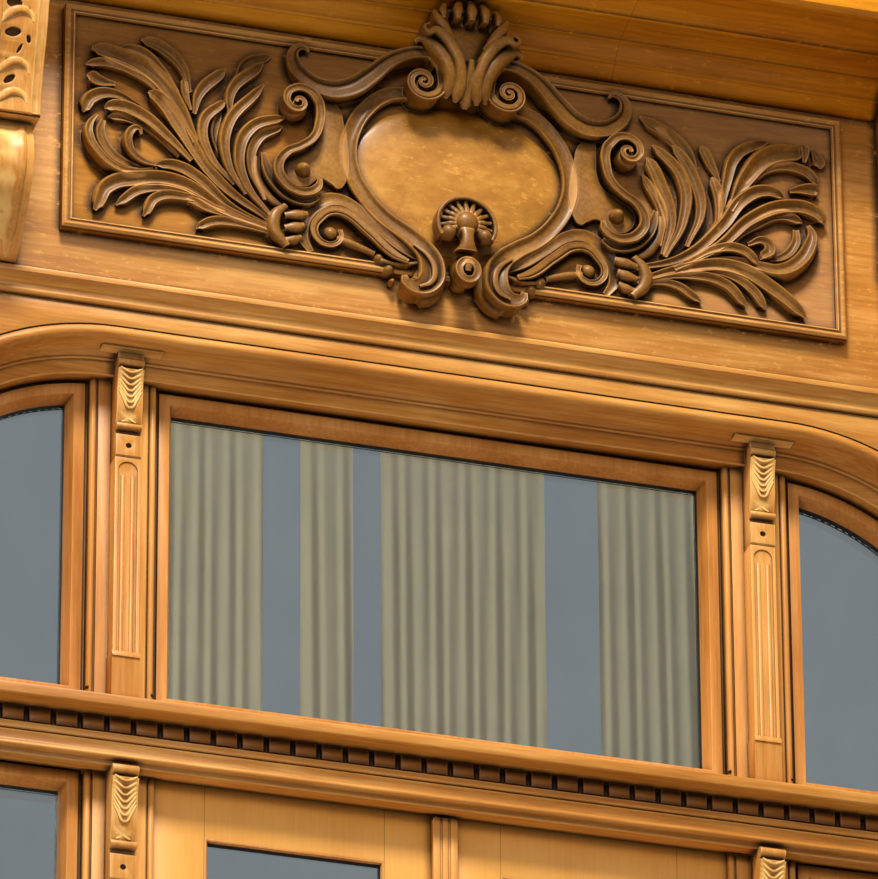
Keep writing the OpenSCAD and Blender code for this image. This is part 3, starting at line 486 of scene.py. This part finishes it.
def swept(strokes, outline, depth=1.0, stem=1.0, foot=14):
    """Bands with the given section on a narrower stem, along strokes of (x, z, width, height) in mm."""
    shape = bpy.data.curves.new("section", "CURVE")
    spline = shape.splines.new("POLY")
    shoulder = -1.2
    corners = [(-stem, -foot), (-stem, shoulder)] + outline + [(stem, shoulder), (stem, -foot)]
    spline.points.add(len(corners) - 1)
    for point, (x, y) in zip(spline.points, corners):
        point.co = (x, (y - 1) * depth, 0, 1)
    spline.use_cyclic_u = True
    section = bpy.data.objects.new("section", shape)
    path = bpy.data.curves.new("strokes", "CURVE")
    path.dimensions, path.twist_mode = "3D", "Z_UP"
    path.bevel_mode, path.bevel_object, path.use_fill_caps, path.resolution_u = "OBJECT", section, True, 7
    for stroke in strokes:
        spline = path.splines.new("BEZIER")
        spline.bezier_points.add(len(stroke) - 1)
        spline.radius_interpolation = "CARDINAL"
        for point, (x, z, width, height) in zip(spline.bezier_points, stroke):
            point.co = (x * mm, z * mm, height * mm)
            point.radius = width * mm / 2
            point.handle_left_type = point.handle_right_type = "AUTO"
    holder = bpy.data.objects.new("strokes", path)
    for thing in (section, holder):
        bpy.context.scene.collection.objects.link(thing)
    bpy.context.view_layer.update()
    mesh = bpy.data.meshes.new_from_object(holder.evaluated_get(bpy.context.evaluated_depsgraph_get()))
    bpy.data.objects.remove(holder)
    bpy.data.objects.remove(section)
    work = bmesh.new()
    work.from_mesh(mesh)
    deepest = -0.003
    for vertex in work.verts:
        vertex.co.z = max(vertex.co.z, deepest)
    bmesh.ops.remove_doubles(work, verts=work.verts, dist=2e-5)
    return work


def cut_out(outline, height, holes=(), corners="AUTO"):
    """A flat web with rounded edges and holes through it, from points in mm."""
    path = bpy.data.curves.new("web", "CURVE")
    path.dimensions, path.fill_mode, path.resolution_u = "2D", "BOTH", 6
    rounding = 0.002
    path.extrude, path.bevel_depth, path.bevel_resolution = height * mm / 2 - rounding, rounding, 2
    for points, handle in [(outline, corners)] + [(hole, "AUTO") for hole in holes]:
        spline = path.splines.new("BEZIER")
        spline.bezier_points.add(len(points) - 1)
        spline.use_cyclic_u = True
        for point, (x, z) in zip(spline.bezier_points, points):
            point.co = (x * mm, z * mm, 0)
            point.handle_left_type = point.handle_right_type = handle
    holder = bpy.data.objects.new("web", path)
    work = bmesh.new()
    work.from_mesh(bpy.data.meshes.new_from_object(holder))
    bpy.data.objects.remove(holder)
    bmesh.ops.translate(work, vec=(0, 0, height * mm / 2), verts=work.verts)
    bmesh.ops.remove_doubles(work, verts=work.verts, dist=2e-5)
    return work


def dome(x, z, across, height, up=None, foot=0):
    """A rounded knob, centred at x and z, in mm."""
    work = bmesh.new()
    bmesh.ops.create_uvsphere(work, u_segments=28, v_segments=16, radius=mm)
    size = Matrix.Diagonal((across, up or across, height - foot, 1))
    place = Matrix.Translation((x * mm, z * mm, foot * mm))
    bmesh.ops.transform(work, matrix=place @ size, verts=work.verts)
    return work


def joined(works):
    """One mesh from several, which are used up."""
    whole = bmesh.new()
    for work in works:
        part = bpy.data.meshes.new("part")
        work.to_mesh(part)
        work.free()
        whole.from_mesh(part)
        bpy.data.meshes.remove(part)
    return whole


def paired(work):
    """The work and its twin on the other side of the middle."""
    twin = work.copy()
    bmesh.ops.scale(twin, vec=(-1, 1, 1), verts=twin.verts)
    return joined([work, twin])


def mounted(work, name, finish, *nodes, wall=ground_y, middle=panel_mid):
    """Carving laid flat is turned up against its wall and fixed there."""
    turn = Matrix.Translation((0, wall, middle)) @ Matrix.Rotation(math.radians(90), 4, "X")
    bmesh.ops.transform(work, matrix=turn, verts=work.verts)
    bmesh.ops.recalc_face_normals(work, faces=work.faces)
    mesh = bpy.data.meshes.new(name)
    work.to_mesh(mesh)
    work.free()
    return finished(mesh, name, finish, "surround", "carved_oak", *nodes, smooth=50)


def volute(x, z, inner, outer, start, end, thin, thick, height, count=12):
    """Points of a scroll from its eye outwards, turning from one angle to the other."""
    points = []
    for i in range(count):
        grown = (i / (count - 1)) ** 1.7
        angle = math.radians(start + (end - start) * i / (count - 1))
        reach = inner + (outer - inner) * grown
        width = thin + (thick - thin) * grown
        points.append((x + reach * math.cos(angle), z + reach * math.sin(angle), width, height))
    return points


strap = volute(-132, 241, 6, 63, -330, 385, 12, 32, 100, 18) + [
    (-80, 295, 35, 108), (-102, 330, 36, 107), (-142, 338, 38, 104), (-185, 327, 42, 100),
    (-235, 298, 50, 94), (-290, 245, 60, 84), (-350, 202, 66, 70), (-420, 194, 62, 58), (-485, 230, 52, 48),
    (-515, 286, 42, 40), (-505, 325, 28, 36), (-480, 335, 20, 33), (-464, 322, 9, 30)]
side_scroll = volute(-508, 120, 8, 60, 190, -345, 13, 32, 80, 12) + [
    (-441, 118, 31, 74), (-442, 62, 29, 70), (-458, 16, 27, 68), (-494, -17, 26, 65), (-540, -46, 29, 62),
    (-563, -96, 33, 58), (-546, -138, 35, 56), (-510, -162, 33, 54), (-468, -162, 30, 53),
    (-440, -140, 26, 52), (-434, -112, 15, 50)]
low_coil = volute(-397, -275, 34, 54, 25, -235, 16, 28, 27, 7) + [
    (-398, -204, 30, 31), (-355, -203, 32, 34), (-290, -252, 32, 40), (-212, -325, 30, 49),
    (-168, -348, 16, 54)]
side_band = [(-604, -45, 16, 36), (-590, -98, 36, 38), (-562, -143, 42, 38), (-520, -177, 40, 38),
             (-470, -186, 34, 38), (-436, -168, 18, 36)]
crescent = [(-622, -54, 8, 22), (-620, -112, 26, 24), (-600, -158, 34, 24), (-562, -198, 30, 24),
            (-532, -212, 12, 22)]
low_back = [(-452, -340, 22, 12), (-478, -290, 42, 15), (-468, -228, 50, 18), (-428, -180, 52, 22),
            (-380, -160, 48, 24), (-325, -176, 42, 26), (-260, -232, 38, 30), (-190, -290, 32, 33),
            (-122, -332, 16, 38)]
rim = [(-140, 226, 34, 42), (-178, 226, 46, 40), (-228, 212, 52, 36), (-286, 160, 54, 34),
       (-328, 82, 54, 32), (-341, 8, 54, 31), (-330, -62, 54, 31), (-297, -130, 54, 33),
       (-238, -200, 54, 38), (-162, -258, 58, 50), (-114, -310, 68, 64), (-97, -362, 80, 73),
       (-106, -412, 80, 76), (-142, -436, 62, 74), (-176, -424, 38, 70), (-184, -402, 18, 66)]
roll_skirt = [(x, z, width + 16, height - 34) for x, z, width, height in rim[-7:-2]]
roll_ridge = [(-150, -290, 8, 56), (-108, -330, 15, 68), (-92, -375, 18, 74), (-104, -418, 16, 74),
              (-138, -436, 9, 72)]
web = [(-374, 150), (-410, 168), (-422, 110), (-424, 50), (-446, 6), (-496, -20), (-540, -60), (-520, -120),
       (-470, -130), (-428, -96), (-389, -111), (-373, -122), (-352, -100), (-340, -40), (-346, 40),
       (-356, 95)]
collar = [[(-534, -210, 24, 36), (-566, -250, 42, 42), (-568, -292, 42, 42), (-528, -342, 24, 36)],
          [(-540, -247, 20, 44), (-502, -241, 36, 50), (-470, -232, 20, 44)],
          [(-540, -287, 20, 42), (-508, -281, 36, 47), (-480, -270, 20, 42)],
          [(-536, -324, 18, 34), (-508, -318, 28, 38), (-486, -306, 16, 34)]]
twig = [[(-376, -287, 18, 24), (-335, -298, 24, 27), (-300, -309, 22, 27), (-262, -322, 20, 27)],
        [(-245, -342, 12, 30), (-190, -352, 13, 38), (-130, -342, 10, 44)]]
knobs = [dome(-482, -82, 27, 60), dome(-395, -275, 26, 34), dome(-247, -334, 20, 32),
         dome(-216, -364, 20, 30), dome(-205, -400, 10, 22), dome(-132, 241, 34, 84, foot=50),
         dome(-508, 120, 38, 62, foot=30)]
half = joined([swept([rim], LIP, 0.62, stem=0.6), swept([roll_skirt, roll_ridge], BEAD, 0.5),
               cut_out(web, 24), swept([low_back], CHANNEL, 0.5),
               swept([strap, low_coil], RIBBON, 0.75, stem=0.5),
               swept([side_scroll, side_band], CHANNEL, 0.8, stem=0.5),
               swept([crescent] + collar + twig, BEAD)] + knobs)
mounted(paired(half), "cartouche_scrolls", carved, "cartouche")

# The field of the cartouche: a low oak cushion, fuller above than below, planted inside the rim.
# Its varnish is thick and glossy, and rubbed to a bright patchy gold.
cushion_oak = oak("cushion_oak", (0.28, 0.105, 0.008), (0.46, 0.195, 0.022), (0.68, 0.33, 0.06),
                  grain=(0.14, 1, 0.2), gloss=0.36, shade_and_soil_strength=1.1, coat=0.3, flakes=0.16)
cushion_mid, narrowing = -35, 0.8
cushion = dome(0, cushion_mid, 345, 26, up=252)
for vertex in cushion.verts:
    vertex.co.x *= 1 + narrowing * min(0, vertex.co.y - cushion_mid * mm)
mounted(cushion, "cartouche_cushion", cushion_oak, "cartouche_boss")

# The shell at the foot of the cushion: a smooth oak dome in a ring of short scallops, carved in one block.
# Two drops and a flat pendant with a slot hang below it, between the rolled ends of the rim.
shell_z, pendant_z = -218, -378
scallops = []
for i in range(13):
    angle = math.radians(-24 + 19 * i)
    scallops.append([(r * math.cos(angle), shell_z + r * math.sin(angle), width, height)
                     for r, width, height in ((34, 14, 96), (52, 17, 94), (68, 15, 86), (80, 12, 84))])
shell_lip = [(88 * math.cos(math.radians(a)), shell_z + 88 * math.sin(math.radians(a)), 13, 96)
             for a in range(-30, 215, 12)]
pendant = [(28 * math.cos(math.radians(a)), pendant_z + 32 * math.sin(math.radians(a)), 24, 108)
           for a in range(70, 480, 40)]
neck = [(0, -235, 44, 104), (0, -268, 34, 110), (0, -296, 46, 110), (0, -312, 62, 106)]
tongue = [(0, -340, 34, 106), (0, -362, 30, 106), (0, -380, 18, 104)]
shell = joined([swept(scallops, BEAD, 0.8), swept([shell_lip], BEAD, 1.0, foot=6),
                dome(0, -212, 42, 112, foot=74), dome(-55, -252, 24, 108, foot=82),
                dome(55, -252, 24, 108, foot=82), dome(0, -345, 36, 80, up=52),
                swept([neck], BEAD, 0.5, foot=3), swept([pendant], CHANNEL, 0.5, foot=5),
                swept([tongue], BEAD, 0.5, foot=4)])
mounted(shell, "cartouche_shell", carved)

# The crest of the cartouche: oak flutes that rise from between the volutes and lean forward from the panel.
# Their ends curl over under the soffit, in front of a hollow bowl.
crest = [
    [(-34, 188, 16, 88), (-32, 200, 38, 106), (-25, 245, 40, 134), (-33, 290, 36, 152), (-52, 332, 38, 158),
     (-82, 373, 36, 162), (-110, 387, 26, 164), (-136, 376, 15, 164), (-146, 390, 12, 162),
     (-132, 406, 7, 158)],
    [(-64, 200, 18, 84), (-60, 212, 36, 104), (-55, 245, 42, 128), (-63, 280, 44, 143), (-86, 320, 46, 147),
     (-117, 352, 42, 142), (-150, 368, 30, 132), (-168, 357, 14, 124)],
    [(-46, 350, 20, 140), (-78, 398, 34, 156), (-100, 430, 32, 156), (-114, 460, 12, 146)],
    [(-36, 500, 22, 150), (-42, 470, 32, 164), (-43, 436, 18, 160)],
    [(-78, 490, 16, 140), (-86, 462, 26, 152), (-84, 436, 14, 150)]]
middle_flute = [
    [(-2, 176, 18, 78), (0, 190, 42, 92), (1, 225, 40, 112), (2, 262, 36, 134), (2, 306, 18, 150)],
    [(0, 505, 22, 150), (0, 468, 34, 166), (0, 436, 20, 162)]]
bowl = [[(0, 250, 70, 84), (0, 330, 110, 96), (0, 400, 165, 100), (0, 470, 200, 96), (0, 508, 190, 94)]]
mounted(joined([paired(swept(crest, BEAD, 0.9)), swept(middle_flute, BEAD, 0.9), swept(bowl, BEAD, 0.25)]),
        "cartouche_crest", carved)

# Foliage: acanthus sprays that spring from the collars and fill the panel, carved in oak and glued to it.
# Each blade is hollowed between two edges. The two sprays match in their sweep, but not leaf for leaf.
LEAF = [(-1, 0.0), (-0.94, 0.5), (-0.8, 0.88), (-0.6, 1), (-0.42, 0.88), (-0.14, 0.56), (0.14, 0.44),
        (0.42, 0.5), (0.64, 0.68), (0.8, 0.72), (0.93, 0.46), (1, -0.1)]
blade_fullness = 1.28


def leaf(width, height, *line):
    """A blade from its root to its blunt tip, as a stroke; its line is given in mm."""
    line = list(line)
    line.insert(-1, tuple(a + (b - a) * 0.76 for a, b in zip(line[-2], line[-1])))
    last = len(line) - 1
    stroke = []
    for i, (x, z) in enumerate(line):
        swell = math.sin(math.pi * (0.13 + 0.8 * i / last) ** 1.1)
        share = 0.2 if i == last else max(swell, 0.66 if i == last - 1 else 0.3)
        raised = height * (0.72 + 0.28 * swell) * (0.75 if i == last else 1)
        stroke.append((x, z, width * blade_fullness * share, raised))
    return stroke


left_out = [
    leaf(44, 34, (-580, -262), (-730, -162), (-850, 0), (-905, 80), (-950, 112)),
    leaf(56, 40, (-805, -40), (-865, 80), (-940, 172), (-1036, 210), (-1124, 230)),
    leaf(26, 32, (-888, 85), (-980, 158), (-1075, 184), (-1140, 172)),
    leaf(34, 32, (-1050, 117), (-1098, 120), (-1136, 138)),
    leaf(28, 40, (-862, 115), (-915, 185), (-975, 234), (-1040, 240)),
    leaf(38, 28, (-824, 128), (-850, 215), (-905, 265), (-972, 286)),
    leaf(36, 40, (-820, -105), (-890, -38), (-970, 22), (-1040, 42), (-1084, 32)),
    leaf(36, 32, (-975, 55), (-1065, 84), (-1125, 58), (-1146, 10)),
    leaf(26, 25, (-855, -92), (-940, -16), (-1010, 12), (-1070, 10)),
    leaf(34, 34, (-580, -284), (-700, -238), (-800, -155), (-865, -128), (-925, -131)),
    leaf(46, 36, (-575, -292), (-720, -250), (-850, -183), (-970, -188), (-1070, -228), (-1106, -312)),
    leaf(28, 29, (-745, -240), (-860, -206), (-970, -222), (-1042, -282)),
    leaf(28, 32, (-716, -252), (-830, -226), (-925, -244), (-960, -308)),
    leaf(22, 30, (-700, -268), (-765, -254), (-836, -227)),
    leaf(27, 28, (-570, -302), (-680, -286), (-745, -290), (-802, -320))]
left_in = [
    leaf(24, 28, (-820, 70), (-838, 115), (-844, 172)),
    leaf(33, 30, (-810, 58), (-796, 130), (-715, 228)),
    leaf(34, 44, (-582, -250), (-655, -160), (-678, -60), (-640, 34), (-536, 88)),
    leaf(30, 29, (-595, -195), (-638, -90), (-615, 10), (-540, 64)),
    leaf(31, 44, (-655, -192), (-712, -100), (-712, 30), (-600, 191)),
    leaf(32, 34, (-699, 48), (-700, 150), (-600, 268)),
    leaf(30, 40, (-690, -163), (-765, -80), (-785, 30), (-716, 118)),
    leaf(22, 24, (-710, -102), (-748, -5), (-734, 92)),
    leaf(28, 15, (-684, 194), (-650, 265), (-573, 300))]
loops_left = [
    [(-930, -150, 22, 24), (-985, -169, 30, 32), (-1045, -166, 33, 40), (-1105, -122, 33, 45),
     (-1130, -70, 31, 42), (-1126, -30, 24, 34), (-1104, 6, 10, 26)],
    [(-950, -142, 12, 14), (-1005, -142, 34, 21), (-1068, -108, 44, 28), (-1093, -50, 38, 28),
     (-1084, -8, 18, 24)],
    [(-924, -134, 14, 26), (-970, -126, 26, 31), (-1008, -88, 30, 38), (-1004, -38, 26, 42),
     (-980, -26, 17, 38), (-972, -44, 8, 34)]]
mounted(joined([swept([stroke[::-1] for stroke in left_out], LEAF, foot=4),
                swept(left_in, LEAF, foot=4), swept(loops_left, LEAF, foot=4)]),
        "left_leaf_spray", carved, "left_foliage")

right_out = [
    leaf(38, 40, (530, -250), (690, -184), (808, -64), (884, 46), (950, 82), (1010, 72)),
    leaf(34, 36, (805, -48), (826, 78), (868, 198), (965, 258)),
    leaf(58, 42, (838, -2), (890, 115), (965, 205), (1082, 238)),
    leaf(30, 30, (895, 98), (988, 174), (1080, 174), (1123, 136)),
    leaf(27, 38, (1076, 200), (1079, 232), (1074, 266)),
    leaf(36, 32, (1104, 256), (1122, 222), (1131, 192)),
    leaf(36, 32, (1030, 98), (1080, 112), (1124, 113)),
    leaf(40, 41, (660, -230), (803, -128), (910, -15), (1025, 41), (1105, 34), (1138, 2)),
    leaf(30, 28, (815, -132), (912, -40), (1000, 12), (1070, 0)),
    leaf(28, 40, (700, -204), (790, -142), (870, -132), (926, -172)),
    leaf(32, 36, (892, -108), (945, -88), (962, -118), (930, -150)),
    leaf(42, 36, (532, -292), (700, -218), (850, -192), (975, -250), (1072, -325)),
    leaf(28, 27, (708, -224), (830, -216), (905, -256), (947, -314)),
    leaf(28, 29, (552, -286), (700, -240), (820, -250), (887, -314)),
    leaf(23, 23, (538, -292), (660, -274), (748, -320))]
right_in = [
    leaf(34, 41, (632, -194), (690, -60), (690, 78), (600, 186)),
    leaf(36, 36, (702, -145), (748, -10), (722, 100), (665, 197)),
    leaf(38, 36, (626, -184), (654, -60), (622, 52), (583, 142)),
    leaf(28, 26, (620, -152), (628, -40), (569, 85)),
    leaf(38, 28, (742, 75), (700, 195), (564, 281)),
    leaf(24, 22, (668, 192), (645, 225), (614, 260)),
    leaf(30, 36, (795, -74), (806, 20), (786, 108)),
    leaf(31, 26, (810, 94), (785, 150), (754, 214))]
loops_right = [
    [(770, -174, 16, 20), (850, -168, 34, 28), (925, -180, 48, 36), (990, -184, 54, 42), (1050, -146, 54, 43),
     (1090, -75, 46, 40), (1096, -40, 32, 32), (1086, -10, 14, 24)],
    [(932, -140, 12, 14), (1000, -132, 32, 23), (1046, -78, 34, 25), (1050, -28, 22, 19)]]
mounted(joined([swept(right_out, LEAF, foot=4),
                swept([stroke[::-1] for stroke in right_in + loops_right], LEAF, foot=4)]),
        "right_leaf_spray", carved, "right_foliage")

# Brackets on the pilasters: sawn and carved oak, with stacked scales over a pair of leaves and a roll.
# The scales follow the swelling face, which leans forward towards the cap.
bracket_oak = oak("bracket_oak", (0.46, 0.17, 0.02), (0.66, 0.28, 0.05), (0.84, 0.44, 0.12), shade_and_soil_strength=1.5,
                  edge_wear_and_highlight=0.7)
pilaster_front = -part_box("left_door_post")[0].y * metre - 8
blade = [(-20, 0, 4), (-6, 8, 9), (10, 20, 10), (24, 30, 9), (32, 44, 4)]
for side in ("left", "right"):
    for node, tall in (("door_bracket", 355), ("fan_bracket", 315)):
        eased(f"{side}_{node}", bracket_oak, slot="carved_oak")
        low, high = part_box(f"{side}_{node}")
        middle, foot = (low.x + high.x) / 2 * metre, low.z * metre
        ribs = []
        for k in range(7):
            t = 0.97 - 0.095 * k
            out = pilaster_front - 2 + 28 * t + 5 * math.sin(math.tau * t) + 3
            z, dip = foot + tall * (0.36 + 0.52 * t), 7 + 3.2 * k
            ribs.append([(middle + x, z + rise * dip, 8 if abs(x) < 30 else 5, out + 1.5 * (1 - abs(x) / 33))
                         for x, rise in ((-33, 1.2), (-20, 0.2), (0, -0.9), (20, 0.2), (33, 1.2))])
        for way in (-1, 1):
            for lift in (0, 16):
                ribs.append([(middle + way * x, foot + tall * 0.365 + z + lift, width,
                              pilaster_front + 2 - way) for x, z, width in blade])
            ribs.append([(middle + way * 33, foot + tall * share, 5, pilaster_front - 4)
                         for share in (0.04, 0.12, 0.2)])
        ribs.append([(middle + x, foot + tall * 0.035, 7, pilaster_front - 3) for x in (-34, 0, 34)])
        button = dome(middle, foot + tall * 0.46, 6, pilaster_front + 8, foot=pilaster_front - 4)
        mounted(joined([swept(ribs, BEAD, 0.6, foot=3), button]), f"{side}_{node}_scales", bracket_oak,
                wall=0, middle=0)

# Weep holes at the feet of the fanlight sashes: near-black domes painted as the shade inside the holes. They
# stand beside the posts, just above the sill.
weep_hole_shade_oak = oak("weep_hole_shade_oak", (0.03, 0.018, 0.01), (0.05, 0.03, 0.016), (0.08, 0.05, 0.03), coat=0.0, gloss=0.6)
weep_hole_z = 2638
weep_hole_dots = [dome(way * x, weep_hole_z, 5, 70, foot=56) for x in (866, 1057) for way in (-1, 1)]
mounted(joined(weep_hole_dots), "painted_weep_hole_shade", weep_hole_shade_oak, wall=0, middle=0)

# Consoles under the cornice: bold oak heads with a flat border round a carved leaf, over a fluted scroll.
# The leaf is cut through, and the head's face behind it is painted dark as painted shade in the hollow; the
# leaf is planted on that face.
console_face = [(450, 4240), (454, 4300), (472, 4380), (508, 4490), (530, 4600), (534, 4720)]
scroll_face = [(243, 3880), (295, 3905), (360, 3965), (420, 4045), (440, 4115), (430, 4180), (410, 4222)]


def face_at(z, face):
    """Distance out of a curved face at a height, both in mm."""
    for (a, low), (b, high) in zip(face, face[1:]):
        if z <= high:
            return a + (b - a) * (z - low) / (high - low)
    return face[-1][0]


def pierced(middle, turn, x, z, wide, tall, lean):
    """A leaning oval hole, in mm, on one side of the middle."""
    return [(middle + turn * (x + wide * math.cos(a) * math.cos(lean) - tall * math.sin(a) * math.sin(lean)),
             z + wide * math.cos(a) * math.sin(lean) + tall * math.sin(a) * math.cos(lean))
            for a in (0, 1.05, 2.1, 3.14, 4.19, 5.24)]


cuts = [(50, 4340, 22, 11, 0.7), (42, 4394, 10, 6, 0.0), (72, 4430, 18, 6, 1.1), (48, 4474, 26, 15, 0.2),
        (46, 4560, 25, 18, 0.0), (88, 4545, 9, 5, 0.6), (60, 4305, 10, 4, 0.9), (54, 4640, 26, 12, 0.6),
        (50, 4700, 20, 10, 0.3), (96, 4460, 8, 14, 0.2)]
vein = [(5, -6, 12, 14), (30, 22, 24, 19), (62, 42, 26, 20), (94, 34, 20, 17), (106, 10, 8, 13)]
# The head's face behind the pierced leaf is painted near-black, as painted shade in the hollow.
console_oak = oak("console_oak", (0.46, 0.17, 0.02), (0.66, 0.28, 0.05), (0.84, 0.44, 0.12), shade_and_soil_strength=1.3,
                  edge_wear_and_highlight=0.5, shade_and_black_bands=[("Y", -0.56, -0.4485, (0.10, 0.032, 0.003))])
leaf_low, leaf_high, border_wide = 4246, 4734, 34
for side, way in (("left", -1), ("right", 1)):
    eased(f"{side}_console_head", console_oak)
    eased(f"{side}_console_scroll", upright)
    low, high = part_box(f"{side}_console_head")
    middle, half_wide = (low.x + high.x) / 2 * metre, (high.x - low.x) / 2 * metre
    border = [[(middle + way * edge, z, border_wide, face_at(z, console_face) + 8)
               for z in range(leaf_low, leaf_high + 1, 50)]
              for edge in (border_wide / 2 - half_wide, half_wide - border_wide / 2)]
    holes = [pierced(middle, turn, *cut) for cut in cuts for turn in (-1, 1)]
    sheet = cut_out([(middle + x * (half_wide - 30), z) for x, z in (
        (-1, leaf_low), (1, leaf_low), (1, leaf_high), (-1, leaf_high))], 12, holes, "VECTOR")
    for z in range(4260, 4730, 24):
        bmesh.ops.bisect_plane(sheet, geom=sheet.verts[:] + sheet.edges[:] + sheet.faces[:],
                               plane_co=(0, z * mm, 0), plane_no=(0, 1, 0))
    for vertex in sheet.verts:
        vertex.co.z += face_at(vertex.co.y * metre, console_face) * mm
    veins = [[(middle + turn * x, z + rise, width, face_at(z + rise, console_face) + lift)
              for x, rise, width, lift in vein]
             for z in (4262, 4352, 4500, 4590, 4676) for turn in (-1, 1)]
    stalk = [[(middle, z, 26, face_at(z, console_face) + 21) for z in range(4250, 4730, 60)]]
    mounted(joined([swept(border, CHANNEL, 0.25), sheet, swept(veins, BEAD, 0.6, foot=1),
                    swept(stalk, BEAD, 0.6, foot=1)]),
            f"{side}_console_leaf", bracket_oak, wall=0, middle=0)
    hollow = [[(middle + x, z, 110, out + 9) for out, z in scroll_face] for x in (-62, 62)]
    mounted(swept(hollow, CHANNEL, 0.22), f"{side}_console_hollow", bracket_oak, wall=0, middle=0)

# Cornice: a broad oak soffit with its bed mouldings, and the crown above, in long boards butted end to end.
# The varnish under the soffit is deep and streaked, and a joint has opened to a crack.
board_end = 0.487
soffit_oak = oak("soffit_oak", (0.50, 0.155, 0.002), (0.70, 0.245, 0.004), (0.86, 0.350, 0.012),
                 grain=level_grain, flakes=0.14, shade_and_soil_strength=2.0, coat=0.0, joints=(board_end,))
for node in ("cornice_soffit", "cornice_crown"):
    eased(node, soffit_oak)

low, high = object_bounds()
